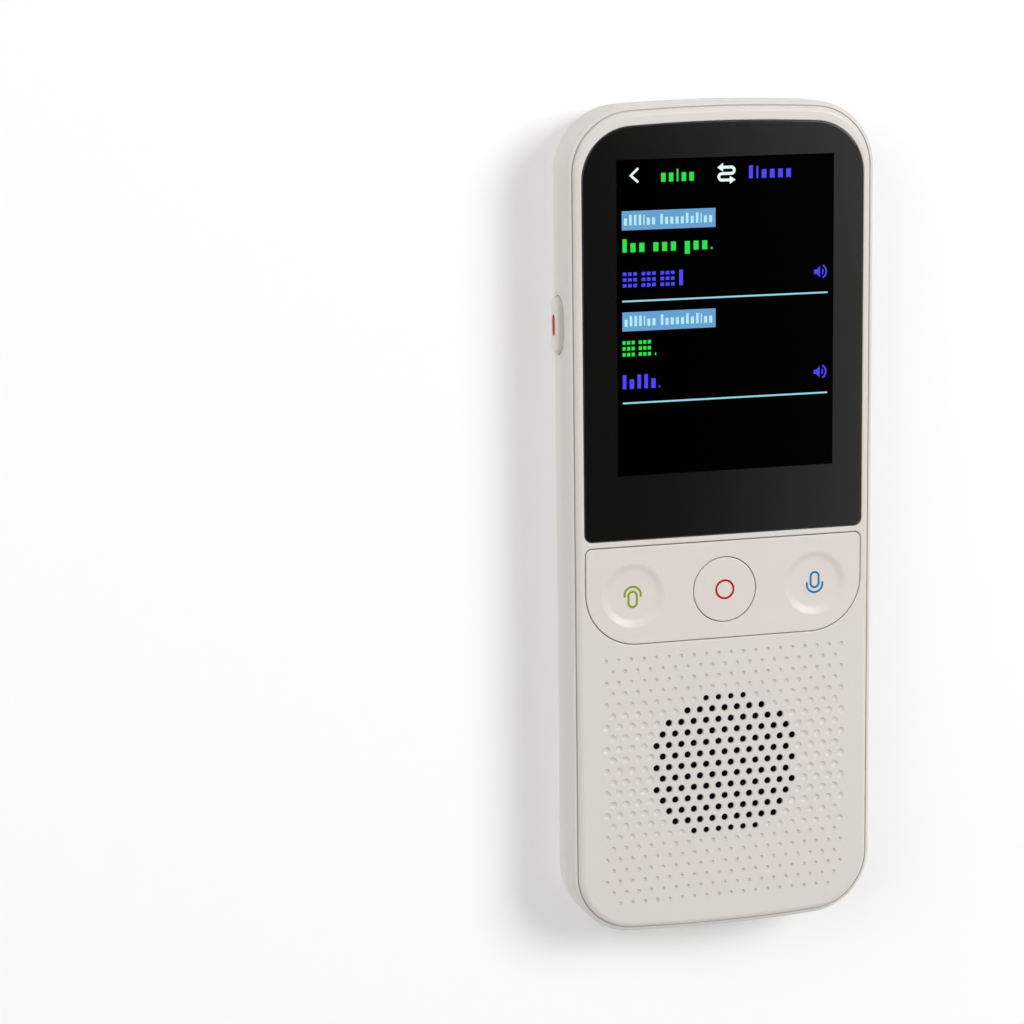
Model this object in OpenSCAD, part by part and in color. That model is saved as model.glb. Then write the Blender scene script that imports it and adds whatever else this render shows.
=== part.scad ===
// Handheld voice translator: a slim bar with a crowned glass screen, a rocking
// talk plate with a round centre key, side keys and a dimpled speaker grille.
// Lying on its back: X to its right, Y to its top end, Z out of the screen.

/* [Body] */
// Thickness from the back face to the front face
body_t = 12.4; // [12.3:0.1:14]
// Radius of the slow curve of the two ends
crown_r = 270; // [220:10:400]
// Plan radius of the two top corners
top_corner_r = 10.4; // [9.6:0.1:11]
// Plan radius of the two bottom corners
bottom_corner_r = 10; // [9.6:0.1:11]
// Radius of the rounded back edge
back_edge_r = 5; // [4:0.1:5.4]
// Thickness of the side walls
wall = 1.4; // [1.2:0.1:1.5]
// Thickness of the back wall
back_wall = 1.4; // [1.2:0.1:1.5]

/* [Front cover] */
// Thickness of the front face
cover_t = 1.3; // [1.2:0.05:1.4]
// Height of the cover's outer edge
cover_edge_t = 2.15; // [2.1:0.05:2.4]
// How far the cover's edge stands in from the side walls
rim_w = 0.85; // [0.8:0.05:1]
// Rounding of the cover's front edge
cover_edge_r = 1; // [0.8:0.05:1.1]
// Rounding of the rear shell's front rim
rim_r = 0.9; // [0.7:0.05:1]
// Width of the parting groove round the cover
parting_gap = 0.15; // [0.1:0.01:0.2]

/* [Screen] */
// Distance from the side wall to the glass
glass_side = 2.2; // [2.1:0.05:2.6]
// Distance from the top end to the glass
glass_end = 3.15; // [3:0.05:3.4]
// Thickness of the glass
glass_t = 0.8; // [0.7:0.05:0.9]
// Plan radius of the glass's top corners
glass_top_r = 8.2; // [7:0.1:9]
// Plan radius of the glass's bottom corners
glass_bottom_r = 1.2; // [0.8:0.1:2]
// Clearance round the glass
glass_gap = 0.08; // [0.06:0.01:0.12]
// Thickness of the tape under the glass
tape_t = 0.15; // [0.1:0.01:0.2]
// Width of the visible picture
picture_w = 36.72; // [35:0.1:38]
// Length of the visible picture
picture_l = 48.96; // [47:0.1:50]
// Distance from the picture to the glass's side edges
picture_side = 4.69; // [4.4:0.01:5]
// Distance from the picture to the glass's top edge
picture_top = 5.49; // [5.3:0.01:6]
// Distance from the picture to the glass's bottom edge
picture_bottom = 10.25; // [9.9:0.05:11]
// Distance from the picture to the display module's sides
lcd_side = 1.94; // [1.7:0.01:2.1]
// Distance from the picture to the display module's top edge
lcd_top = 1.9; // [1.6:0.05:2]
// Distance from the picture to the display module's bottom edge
lcd_bottom = 6.3; // [5.5:0.05:7]
// Thickness of the display's glass stack
lcd_panel_t = 1.2; // [1:0.05:1.3]
// Thickness of the display's backlight tray
lcd_tray_t = 1.1; // [1:0.05:1.2]

/* [Talk plate and centre key] */
// Width of the strip between the glass and the talk plate
strip_w = 1.13; // [1.1:0.01:1.4]
// Distance from the side wall to the talk plate
plate_side = 2.3; // [2.25:0.05:2.7]
// Length of the talk plate along the body
plate_l = 15.55; // [15.2:0.05:16]
// Thickness of the talk plate
plate_t = 1.5; // [1.3:0.05:1.6]
// Plan radius of the plate's bottom corners
plate_bottom_r = 8.4; // [7.5:0.1:9]
// Plan radius of the plate's top corners
plate_top_r = 1; // [0.8:0.1:1.4]
// Gap round the talk plate
plate_gap = 0.15; // [0.13:0.01:0.18]
// Distance from the side wall to the middle of each dish
dish_side = 10.05; // [9.6:0.05:10.5]
// Radius of each dish at the surface
dish_r = 5.2; // [4.8:0.1:5.4]
// Radius of each dish's flat floor
dish_floor_r = 4.1; // [3.8:0.1:4.4]
// Depth of each dish
dish_depth = 0.5; // [0.3:0.05:0.6]
// Radius of the centre key
key_r = 5.15; // [4.8:0.05:5.3]
// Gap round the centre key
key_gap = 0.13; // [0.11:0.01:0.16]
// Rocking of the talk plate to each side, in degrees
plate_tilt = 0.9; // [0.5:0.1:1]
// Travel of the centre key
key_travel = 0.25; // [0.15:0.05:0.28]

/* [Grille] */
// Number of rows
grille_rows = 23; // [17:1:23]
// Places counted from the middle to the longest row's end, in half pitches
grille_half_steps = 19; // [15:1:19]
// Distance from the side wall to the outermost places
grille_side = 5.46; // [5.3:0.02:6]
// Distance from the talk plate to the first row
grille_start = 2.43; // [2.2:0.01:2.6]
// Distance from the bottom end to the last row
grille_end = 5.55; // [5.3:0.05:6]
// Distance from the loudspeaker's rim to the outermost holes
vent_margin = 1.85; // [1.75:0.05:2]
// Diameter of the largest dimples
dimple_d = 1.25; // [1:0.05:1.4]
// Diameter of the smallest dimples
dimple_end_d = 0.45; // [0.4:0.01:0.6]
// Depth of the dimples
dimple_depth = 0.15; // [0.1:0.01:0.2]
// Diameter of the largest holes
vent_d = 1; // [0.8:0.05:1.05]

/* [Side keys] */
// Distance from the top end to the volume key's middle
volume_down = 32.2; // [31:0.1:34]
// Length of the volume key
volume_l = 22.6; // [21.5:0.1:23]
// Distance from the top end to the power key's middle
power_down = 34.3; // [33:0.1:36]
// Length of the power key
power_l = 9.1; // [8.6:0.1:9.6]
// Width of both side keys
side_key_w = 3.2; // [3:0.1:3.3]
// How far the volume key stands out of the wall
volume_out = 0.35; // [0.33:0.01:0.5]
// How far the power key stands out of the wall
power_out = 0.65; // [0.5:0.05:0.8]
// Depth of the scooped wall round a side key
scoop_depth = 0.5; // [0.3:0.05:0.6]
// Half width of the scoop at the wall's surface
scoop_half_w = 4.1; // [3.6:0.1:4.2]
// Height of the side keys' middle above the back face
side_key_z = 6; // [5.9:0.1:6.2]
// Clearance round the side keys
side_gap = 0.12; // [0.1:0.01:0.15]
// Rocking of the volume key to each side, in degrees
volume_tilt = 1.6; // [0.6:0.1:1.6]
// Travel of the power key
power_travel = 0.25; // [0.15:0.05:0.28]

/* [Inside] */
// Distance from the front face to the main board's front
board_down = 4.2; // [4.1:0.05:4.3]
// Thickness of the circuit boards
board_t = 0.8; // [0.7:0.05:0.9]
// Distance from the main board's edge to the side wall's outside
board_side = 4.05; // [4:0.05:4.2]
// Height of the snap domes
dome_h = 0.3; // [0.25:0.01:0.35]
// Radius of the snap domes
dome_r = 2; // [1.8:0.1:2.2]
// Distance from the battery to the side wall's outside
battery_side = 5.25; // [5.2:0.05:7]
// Distance from the battery to the top end's outside
battery_end = 9.2; // [9.1:0.1:12]
// How far the battery reaches below the picture
battery_down = 3.6; // [0:0.1:4]
// Thickness of the battery
battery_t = 4.8; // [4.2:0.1:4.9]
// Distance from the talk plate to the loudspeaker's rim
speaker_down = 6.74; // [6.5:0.02:7.5]
// Radius of the loudspeaker
speaker_r = 14; // [13.8:0.1:14.2]
// Depth of the loudspeaker
speaker_t = 4.4; // [4:0.1:4.6]
// Radius of the loudspeaker's magnet
magnet_r = 8; // [7:0.1:8.5]
// Length of the lower board
lower_board_l = 9.93; // [9.5:0.01:12]
// Distance from the side wall to the lower board
lower_board_side = 12.05; // [11.9:0.05:13]
// Half width of the shield can
can_hw = 15; // [13:0.1:16]
// Height of the shield can
can_h = 1.8; // [1.6:0.1:2]
// Half width of the battery's protection board
cell_board_hw = 15; // [12:0.5:17]
// Width of the battery's protection board
cell_board_l = 3.2; // [2.8:0.1:3.4]
// Thickness of the battery's protection board with its parts
cell_board_t = 1.6; // [1.2:0.1:2]
// Width of the display's cable
lcd_flex_w = 16; // [12:0.5:18]
// Half width of the cable between the boards
link_flex_hw = 3.5; // [3:0.1:4]
// Half width of the antenna film
antenna_hw = 16; // [12:0.5:18]
// Half length of the antenna film
antenna_hl = 10; // [8:0.5:12]
// Distance from the side wall to the top screws
top_screw_side = 11.25; // [10.8:0.05:12]
// Distance from the side wall to the screws below the talk plate
mid_screw_side = 6.45; // [6.4:0.05:7]
// Distance from the lower board's side edge to the bottom screws
bottom_screw_side = 2.7; // [2.3:0.05:3]
// Radius of the screws' shanks
screw_r = 0.8; // [0.7:0.05:0.85]

/* [Port and lanyard] */
// Width of the port's mouth
port_w = 8.34; // [8.34]
// Height of the port's mouth
port_h = 2.56; // [2.56]
// Depth of the port
port_l = 7.35; // [7:0.05:7.6]
// Radius of the microphone holes
mic_hole_r = 0.5; // [0.3:0.05:0.6]
// Direction of the lanyard notch seen from its corner's centre, in degrees
notch_angle = -47; // [-55:1:-40]
// Length of the lanyard notch along the corner
notch_l = 5.4; // [5:0.1:5.8]
// Height of the lanyard notch
notch_h = 1.8; // [1.6:0.1:2]
// Depth of the lanyard notch
notch_depth = 2.5; // [2.3:0.1:2.6]
// Radius of the lanyard bar across the notch
bar_r = 0.6; // [0.5:0.05:0.7]

/* [Hidden] */

// The body's size, from the display, the speaker and the lower board
board_gap = 0.9;
lower_board_gap = 0.7;
glass_w = picture_w + 2 * picture_side;
glass_l = picture_top + picture_l + picture_bottom;
body_w = glass_w + 2 * glass_side;
lower_l = speaker_down + 2 * speaker_r + board_gap + lower_board_l + lower_board_gap + wall;
body_l = glass_end + glass_l + strip_w + plate_l + lower_l;
half_w = body_w / 2;
half_l = body_l / 2;
face_z = body_t;
straight = 100000;
corner_steps = 12;
crown_steps = 8;
round_steps = 6;

// Heights
travel_rest = 0.05;
rim_drop = 0.75;
cover_under_z = face_z - cover_t;
edge_under_z = face_z - cover_edge_t;
glass_seat_z = face_z - glass_t - tape_t;
lcd_tray_z = glass_seat_z - lcd_panel_t;
lcd_under_z = lcd_tray_z - lcd_tray_t;
board_top_z = face_z - board_down;
board_z = board_top_z - board_t;
plate_under_z = face_z - plate_t;
post_end_z = board_top_z + dome_h + key_travel + travel_rest;

// Screen
glass_hw = glass_w / 2;
glass_top_y = half_l - glass_end;
glass_bottom_y = glass_top_y - glass_l;
picture_y0 = glass_bottom_y + picture_bottom;
lcd_w = picture_w + 2 * lcd_side;
lcd_y1 = picture_y0 + picture_l + lcd_top;
lcd_y0 = picture_y0 - lcd_bottom;
lcd_gap = 0.1;
connector_t = 0.3;
lcd_connector_l = 3;
lcd_connector_y = lcd_y0 + 3;

// Talk plate
plate_hw = half_w - plate_side;
dish_x = half_w - dish_side;
plate_top_y = glass_bottom_y - strip_w;
plate_bottom_y = plate_top_y - plate_l;
plate_y = (plate_top_y + plate_bottom_y) / 2;
plate_top_gap = plate_gap + 0.1;
plate_edge_r = 0.2;
fulcrum_r = 0.4;
fulcrum_gap = 0.02;
fulcrum_l = 1.3;
fulcrum_z = board_top_z + fulcrum_gap + fulcrum_r;
post_r = 1.2;
key_flange_w = 0.55;
key_flange_t = 0.5;
key_flange_z = plate_under_z - 0.35;
lip_x = 9;
lip_w = 3;
lip_t = 0.5;
lip_gap = (lip_x + lip_w / 2) * sin(plate_tilt) + 0.255;

// Grille
first_row_y = plate_bottom_y - grille_start;
last_row_y = grille_end - half_l;
row_pitch = (first_row_y - last_row_y) / (grille_rows - 1);
half_pitch = (half_w - grille_side) / grille_half_steps;
speaker_y = plate_bottom_y - speaker_down - speaker_r;
vent_r = speaker_r - vent_margin;
grille_margin = 1;
grille_hw = half_w - grille_side + grille_margin;
full_reach = 0.541 * speaker_r;
fade_reach = 0.773 * speaker_r;
corner_clearance = 3.9;

// Screws and bosses
screw_gap = 0.15;
pilot_gap = 0.02;
head_r = 1.4;
head_t = 0.9;
head_seat_z = 3;
screw_l = 7.2;
rear_boss_r = 2.3;
front_boss_r = 1.75;
top_screw_y = lcd_y1 + lcd_gap + front_boss_r;
mid_screw_y = plate_bottom_y - 3.4;
lower_board_hw = half_w - lower_board_side;
lower_board_y0 = wall + lower_board_gap - half_l;
lower_board_y1 = lower_board_y0 + lower_board_l;
bottom_screw_y = lower_board_y0 + 0.6 * lower_board_l;
screws = [[half_w - top_screw_side, top_screw_y], [half_w - mid_screw_side, mid_screw_y],
    [lower_board_hw - bottom_screw_side, bottom_screw_y]];

// Side keys, measured inwards from the wall's outside
volume_y = half_l - volume_down;
power_y = half_l - power_down;
side_rib_t = 1;
switch_board_t = 0.5;
switch_board_x = half_w - 3.75;
switch_dome_x = switch_board_x + switch_board_t;
side_post_x = switch_dome_x + dome_h + power_travel + travel_rest;
side_flange_t = 0.45;
side_flange_w = 0.6;
volume_rock_gap = (volume_l / 2 + side_flange_w) * sin(volume_tilt) + 0.09;
power_rest_gap = 0.05;
volume_flange_x = half_w - wall - volume_rock_gap;
power_flange_x = half_w - wall - power_rest_gap;
volume_pivot_x = switch_dome_x + fulcrum_gap + fulcrum_r;
volume_dome_y = 8.5;
side_post_r = 1;
switch_board_w = 6;
key_edge_r = 0.3;
scoop_r = (scoop_half_w * scoop_half_w + scoop_depth * scoop_depth) / (2 * scoop_depth);
scoop_end = 0.8;

// Boards
board_hw = half_w - board_side;
board_top_y = half_l - wall - 0.5;
board_bottom_y = speaker_y + speaker_r + board_gap;
battery_w = body_w - 2 * battery_side;
battery_y0 = picture_y0 - battery_down;
battery_l = half_l - battery_end - battery_y0;
battery_z = back_wall + tape_t;
cell_rib_gap = 4.6;
can_y0 = mid_screw_y + 4;
can_y1 = battery_y0 - 6;
can_l = can_y1 - can_y0;
battery_edge_r = 1.5;

// Loudspeaker, with heights below the face's underside
gasket_t = 0.5;
cone_r = speaker_r - 1.15;
cone_seat = -1.2;
film_t = 0.15;
coil_r = magnet_r - 3.4;
coil_t = 0.4;
coil_gap = 0.3;
seat_gap = 0.03;

// Port, microphones and lanyard
port_shell_t = 0.3;
port_z = board_z - port_h / 2 - port_shell_t;
port_in = 0.25;
port_gap = 0.05;
mic_x = 8;
mic_w = 3.5;
mic_l = 2.65;
mic_t = 1;
mic_z = board_z - 0.7;
boot_l = 0.95;
notch_z = 5.2;

// One end of an outline: a corner, the slow curve of the end and the other corner.
function end_points(hw, end_y, r, crown) =
    let (
        cy = end_y - crown + sqrt(pow(crown - r, 2) - pow(hw - r, 2)),
        a = asin((hw - r) / (crown - r))
    )
    concat(
        [for (k = [0:corner_steps])
            let (t = (90 - a) * k / corner_steps)
            [hw - r + r * cos(t), cy + r * sin(t)]],
        [for (k = [1:crown_steps - 1])
            let (t = 90 - a + 2 * a * k / crown_steps)
            [crown * cos(t), end_y - crown + crown * sin(t)]],
        [for (k = [0:corner_steps])
            let (t = 90 + a + (90 - a) * k / corner_steps)
            [r - hw + r * cos(t), cy + r * sin(t)]]
    );

// A closed outline, anticlockwise, from its half width, ends, corner radii and end curves.
function outline(hw, top_y, bottom_y, top_r, bottom_r, top_crown, bottom_crown) =
    concat(
        end_points(hw, top_y, top_r, top_crown),
        [for (p = end_points(hw, -bottom_y, bottom_r, bottom_crown)) -p]
    );

// The body's outline moved inwards by i.
function body_outline(i) =
    outline(half_w - i, half_l - i, i - half_l, top_corner_r - i, bottom_corner_r - i,
        crown_r - i, crown_r - i);

// The glass's outline moved outwards by g.
function glass_outline(g) =
    outline(glass_hw + g, glass_top_y + g, glass_bottom_y - g, glass_top_r + g, glass_bottom_r + g,
        crown_r - glass_end + g, straight);

// The talk plate's outline moved outwards by g, and by more at its top edge.
function plate_outline(g, top_g) =
    outline(plate_hw + g, plate_top_y + top_g, plate_bottom_y - g, plate_top_r + g, plate_bottom_r + g,
        straight, straight);

// A plain rounded rectangle.
function round_rect(hw, y0, y1, r) = outline(hw, y1, y0, r, r, straight, straight);

// A slot with round ends along Y, moved inwards by i.
function slot_points(w, l, i) =
    [for (e = [0, 1])
        for (k = [0:2 * corner_steps])
            let (t = 180 * e + 180 * k / (2 * corner_steps))
            [(w / 2 - i) * cos(t), (e == 0 ? 1 : -1) * (l - w) / 2 + (w / 2 - i) * sin(t)]];

// A closed skin through outlines with equal numbers of points, from the lowest to the highest.
module skin(loops, heights) {
    n = len(loops[0]);
    m = len(loops);
    polyhedron(
        points = [for (k = [0:m - 1]) for (p = loops[k]) [p.x, p.y, heights[k]]],
        faces = concat(
            [[for (j = [0:n - 1]) j]],
            [[for (j = [0:n - 1]) m * n - 1 - j]],
            [for (k = [0:m - 2]) for (j = [0:n - 1])
                [k * n + j, (k + 1) * n + j, (k + 1) * n + (j + 1) % n, k * n + (j + 1) % n]]
        )
    );
}

// Steps of a quarter round: falling from r to 0, rising slowly from 0 to r, and rising quickly.
function round_fall(r) = [for (k = [0:round_steps]) r * (1 - sin(90 * k / round_steps))];
function round_slow(r) = [for (k = [0:round_steps]) r * (1 - cos(90 * k / round_steps))];
function round_fast(r) = [for (k = [0:round_steps]) r * sin(90 * k / round_steps)];
function raised(steps, z) = [for (s = steps) s + z];

module prism(points, z0, z1) {
    translate([0, 0, z0]) linear_extrude(z1 - z0) polygon(points);
}

module box(x0, x1, y0, y1, z0, z1) {
    translate([x0, y0, z0]) cube([x1 - x0, y1 - y0, z1 - z0]);
}

module rod(x, y, z0, z1, r) {
    translate([x, y, z0]) cylinder(r = r, h = z1 - z0, $fn = 48);
}

module both_sides() {
    for (m = [0, 1])
        mirror([m, 0, 0]) children();
}

// A shape drawn in a key's own frame, with its outward direction as Z, set on the right wall.
module on_right_wall(y) {
    translate([0, y, side_key_z])
        rotate([90, 0, 90])
            rotate([0, 0, 90]) children();
}

module rear_skin() {
    rim_z = face_z - rim_drop;
    skin(
        [for (i = concat(round_fall(back_edge_r), round_slow(rim_r))) body_outline(i)],
        concat(round_slow(back_edge_r), raised(round_fast(rim_r), rim_z - rim_r))
    );
}

module rear_cavity() {
    r = back_edge_r - wall;
    skin(
        [for (i = concat(round_fall(r), [0])) body_outline(wall + i)],
        concat(raised(round_slow(r), back_wall), [face_z])
    );
}

// The shallow scoop that a side key stands in: a long trough with ball ends.
module scoop(l) {
    reach = l / 2 + scoop_end - scoop_half_w;
    x = half_w - scoop_depth + scoop_r;
    translate([x, 0, side_key_z])
        rotate([90, 0, 0])
            cylinder(r = scoop_r, h = 2 * reach, center = true, $fn = 180);
    for (s = [-1, 1])
        translate([x, s * reach, side_key_z]) sphere(scoop_r, $fn = 180);
}

// A side key's slot, with a flat seat for its flange in the rounded inside of the wall.
module key_slot(l, y) {
    seat = 2 * (side_flange_w + side_gap);
    on_right_wall(y) {
        prism(slot_points(side_key_w + 2 * side_gap, l + 2 * side_gap, 0), half_w - wall - 1, half_w + 1);
        prism(slot_points(side_key_w + seat, l + seat, 0), half_w - wall - 1, half_w - wall);
    }
}

module port_profile(g) {
    r = port_h / 2 + g;
    for (s = [-1, 1])
        translate([s * (port_w - port_h) / 2, 0]) circle(r, $fn = 48);
    translate([-(port_w - port_h) / 2, -r]) square([port_w - port_h, 2 * r]);
}

module lanyard_notch() {
    cx = half_w - bottom_corner_r;
    cy = -half_l + bottom_corner_r;
    translate([cx, cy, notch_z])
        rotate([0, 0, notch_angle])
            translate([bottom_corner_r, 0, 0]) {
                difference() {
                    rotate([0, -90, 0])
                        translate([0, 0, -3])
                            linear_extrude(notch_depth + 3)
                                polygon(slot_points(notch_h, notch_l, 0));
                    translate([-bar_r - 0.35, 0, -notch_h])
                        cylinder(r = bar_r, h = 2 * notch_h, $fn = 32);
                }
            }
}

// The solid block behind the notch.
module lanyard_block() {
    depth = notch_depth + wall;
    translate([half_w - bottom_corner_r, -half_l + bottom_corner_r, back_wall / 2])
        rotate([0, 0, notch_angle])
            translate([bottom_corner_r - depth, -notch_l / 2 - 1, 0])
                cube([depth, notch_l + 2, notch_z + notch_h / 2 + 1 - back_wall / 2]);
}

module side_rib(y, l) {
    box(switch_board_x - side_rib_t, switch_board_x, y - l / 2, y + l / 2, back_wall / 2, board_z - 0.1);
}

module rear_shell() {
    color([0.85, 0.84, 0.82])
    difference() {
        union() {
            difference() {
                rear_skin();
                rear_cavity();
                prism(body_outline(rim_w - parting_gap), edge_under_z, face_z);
            }
            side_rib(volume_y, volume_l);
            mirror([1, 0, 0]) side_rib(power_y, power_l + 4);
            for (y = [battery_y0 - cell_rib_gap, battery_y0 + battery_l + 0.3])
                box(-battery_w / 2, battery_w / 2, y, y + side_rib_t, back_wall / 2,
                    battery_z + battery_t / 2);
            intersection() {
                rear_skin();
                union() {
                    both_sides()
                        for (s = screws)
                            rod(s.x, s.y, back_wall / 2, board_z, rear_boss_r);
                    lanyard_block();
                }
            }
        }
        both_sides()
            for (s = screws) {
                rod(s.x, s.y, -1, head_seat_z, head_r + 2 * screw_gap);
                rod(s.x, s.y, head_seat_z - 1, board_z + 1, screw_r + screw_gap);
            }
        translate([0, volume_y, 0]) scoop(volume_l);
        mirror([1, 0, 0]) translate([0, power_y, 0]) scoop(power_l);
        key_slot(volume_l, volume_y);
        mirror([1, 0, 0]) key_slot(power_l, power_y);
        translate([0, -half_l + wall + 1, port_z])
            rotate([90, 0, 0])
                linear_extrude(wall + 2) port_profile(port_shell_t + port_gap);
        translate([-mic_x, -half_l + wall + 1, mic_z])
            rotate([90, 0, 0]) cylinder(r = mic_hole_r, h = wall + 2, $fn = 32);
        translate([mic_x, half_l + 1, mic_z])
            rotate([90, 0, 0]) cylinder(r = mic_hole_r, h = wall + 2, $fn = 32);
        lanyard_notch();
    }
}

// How large a place is: full size beside the loudspeaker, shrinking towards both ends of the field.
function place_d(y) =
    let (t = min(1, max(0, (abs(y - speaker_y) - full_reach) / fade_reach)))
    dimple_end_d + (dimple_d - dimple_end_d) * (1 - t) * (1 - t);

function is_vent(x, y) = norm([x, y - speaker_y]) < vent_r;

// The last row stops short of the rounded corners.
function is_place(x, y) =
    let (c = [half_w - bottom_corner_r, -half_l + bottom_corner_r])
    x < c.x || y > c.y || norm([x - c.x, y - c.y]) < bottom_corner_r - corner_clearance;

module places(vents_only) {
    for (n = [0:grille_rows - 1])
        for (k = [-grille_half_steps:grille_half_steps])
            if ((n + k + grille_half_steps) % 2 == 0) {
                x = k * half_pitch;
                y = first_row_y - n * row_pitch;
                if (vents_only ? is_vent(x, y) : is_place(abs(x), y))
                    translate([x, y])
                        circle(d = vents_only ? min(vent_d, 0.92 * place_d(y)) : place_d(y), $fn = 24);
            }
}

module grille_field(g) {
    translate([-grille_hw - g, last_row_y - grille_margin - g])
        square([2 * (grille_hw + g), first_row_y - last_row_y + 2 * (grille_margin + g)]);
}

module grille_layer(z0, z1, vents_only) {
    translate([0, 0, z0])
        linear_extrude(z1 - z0)
            difference() {
                grille_field(0);
                places(vents_only);
            }
}

module cover_skin() {
    skin(
        concat([body_outline(rim_w)], [for (i = round_slow(cover_edge_r)) body_outline(rim_w + i)]),
        concat([edge_under_z], raised(round_fast(cover_edge_r), face_z - cover_edge_r))
    );
}

module front_cover() {
    pocket_in = rim_w + 1.2;
    color([0.88, 0.87, 0.84])
    union() {
        difference() {
            cover_skin();
            prism(glass_outline(glass_gap), glass_seat_z, face_z + 1);
            prism(round_rect(lcd_w / 2 + lcd_gap, lcd_y0 - lcd_gap, lcd_y1 + lcd_gap, 0.5), 0, face_z);
            prism(plate_outline(plate_gap, plate_top_gap), 0, face_z + 1);
            intersection() {
                prism(body_outline(pocket_in), 0, cover_under_z);
                box(-half_w, half_w, -half_l, plate_top_y, 0, cover_under_z);
            }
            translate([0, 0, 1]) linear_extrude(face_z) grille_field(0);
        }
        grille_layer(cover_under_z, face_z - dimple_depth, true);
        grille_layer(face_z - dimple_depth, face_z, false);
        both_sides()
            for (s = screws)
                difference() {
                    rod(s.x, s.y, board_top_z, s.y > 0 ? edge_under_z : cover_under_z, front_boss_r);
                    rod(s.x, s.y, board_top_z - 1, head_seat_z + screw_l + 0.2, screw_r + pilot_gap);
                }
        translate([0, speaker_y, cover_under_z - 2.4])
            difference() {
                cylinder(r = speaker_r + 1, h = 2.4, $fn = 96);
                translate([0, 0, -1]) cylinder(r = speaker_r + 0.1, h = 5, $fn = 96);
            }
    }
}

module cover_glass() {
    color([0.1, 0.1, 0.1, 0.9])
    skin(
        [glass_outline(0), glass_outline(0), glass_outline(-0.12)],
        [glass_seat_z + tape_t, face_z - 0.12, face_z]
    );
}

module glass_tape() {
    color("black")
    difference() {
        prism(glass_outline(-0.2), glass_seat_z, glass_seat_z + tape_t);
        prism(round_rect(lcd_w / 2 + lcd_gap, lcd_y0 - lcd_gap, lcd_y1 + lcd_gap, 0.5), 0, face_z);
    }
}

module lcd_panel() {
    color([0.12, 0.13, 0.16])
    prism(round_rect(lcd_w / 2, lcd_y0, lcd_y1, 0.4), lcd_tray_z, glass_seat_z + tape_t);
}

module lcd_tray() {
    color("silver")
    prism(round_rect(lcd_w / 2, lcd_y0, lcd_y1, 0.4), lcd_under_z, lcd_tray_z);
}

// A flat cable drawn as a strip in the YZ plane, folded back under the display.
module lcd_flex() {
    flex_t = 0.12;
    fold_y = lcd_y0 - 0.3;
    z0 = board_top_z + connector_t;
    z1 = lcd_under_z + 0.5;
    bend = (z1 - z0) / 2;
    color([0.75, 0.5, 0.15])
    translate([-lcd_flex_w / 2, 0, 0]) {
        box(0, lcd_flex_w, fold_y, lcd_y0, z1, z1 + flex_t);
        box(0, lcd_flex_w, fold_y, lcd_connector_y + lcd_connector_l, z0, z0 + flex_t);
        translate([0, fold_y, z0 + bend + flex_t / 2])
            rotate([90, 0, 90])
                linear_extrude(lcd_flex_w)
                    intersection() {
                        difference() {
                            circle(bend + flex_t / 2, $fn = 64);
                            circle(bend - flex_t / 2, $fn = 64);
                        }
                        translate([-2 * bend, -2 * bend]) square([2 * bend, 4 * bend]);
                    }
    }
}

module lcd_connector() {
    color([0.2, 0.18, 0.16])
    box(-lcd_flex_w / 2, lcd_flex_w / 2, lcd_connector_y, lcd_connector_y + lcd_connector_l,
        board_top_z, board_top_z + connector_t);
}

// A dish seen from the side: a flat floor and a soft S-shaped rim.
module dish_cut() {
    steps = 8;
    rotate_extrude($fn = 96)
        polygon(concat(
            [[0, 1], [0, -dish_depth]],
            [for (k = [0:steps])
                [dish_floor_r + (dish_r - dish_floor_r) * k / steps,
                    -dish_depth * (1 + cos(180 * k / steps)) / 2]],
            [[dish_r, 1]]
        ));
}

module talk_plate() {
    top_lip_z = edge_under_z - lip_gap - lip_t;
    bottom_lip_z = cover_under_z - lip_gap - lip_t;
    color([0.88, 0.87, 0.84])
    difference() {
        union() {
            skin(
                concat([plate_outline(0, 0)],
                    [for (i = round_slow(plate_edge_r)) plate_outline(-i, -i)]),
                concat([plate_under_z], raised(round_fast(plate_edge_r), face_z - plate_edge_r))
            );
            both_sides()
                rod(dish_x, plate_y, post_end_z, plate_under_z + 0.1, post_r);
            for (s = [-1, 1])
                translate([0, plate_y + s * (plate_l / 2 - fulcrum_l / 2 - 0.2), fulcrum_z]) {
                    rotate([90, 0, 0]) cylinder(r = fulcrum_r, h = fulcrum_l, center = true, $fn = 32);
                    box(-fulcrum_r, fulcrum_r, -fulcrum_l / 2, fulcrum_l / 2, 0,
                        plate_under_z - fulcrum_z + 0.1);
                }
            both_sides() {
                x0 = lip_x - lip_w / 2;
                x1 = lip_x + lip_w / 2;
                box(x0, x1, plate_top_y - 1, plate_top_y, top_lip_z, plate_under_z + 0.1);
                box(x0, x1, plate_top_y - 1, plate_top_y + 1.1, top_lip_z, top_lip_z + lip_t);
                box(x0, x1, plate_bottom_y + 0.2, plate_bottom_y + 1.2, bottom_lip_z, plate_under_z + 0.1);
                box(x0, x1, plate_bottom_y - 1, plate_bottom_y + 1.2, bottom_lip_z, bottom_lip_z + lip_t);
            }
        }
        rod(0, plate_y, plate_under_z - 1, face_z + 1, key_r + key_gap);
        both_sides()
            translate([dish_x, plate_y, face_z]) dish_cut();
    }
}

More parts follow.
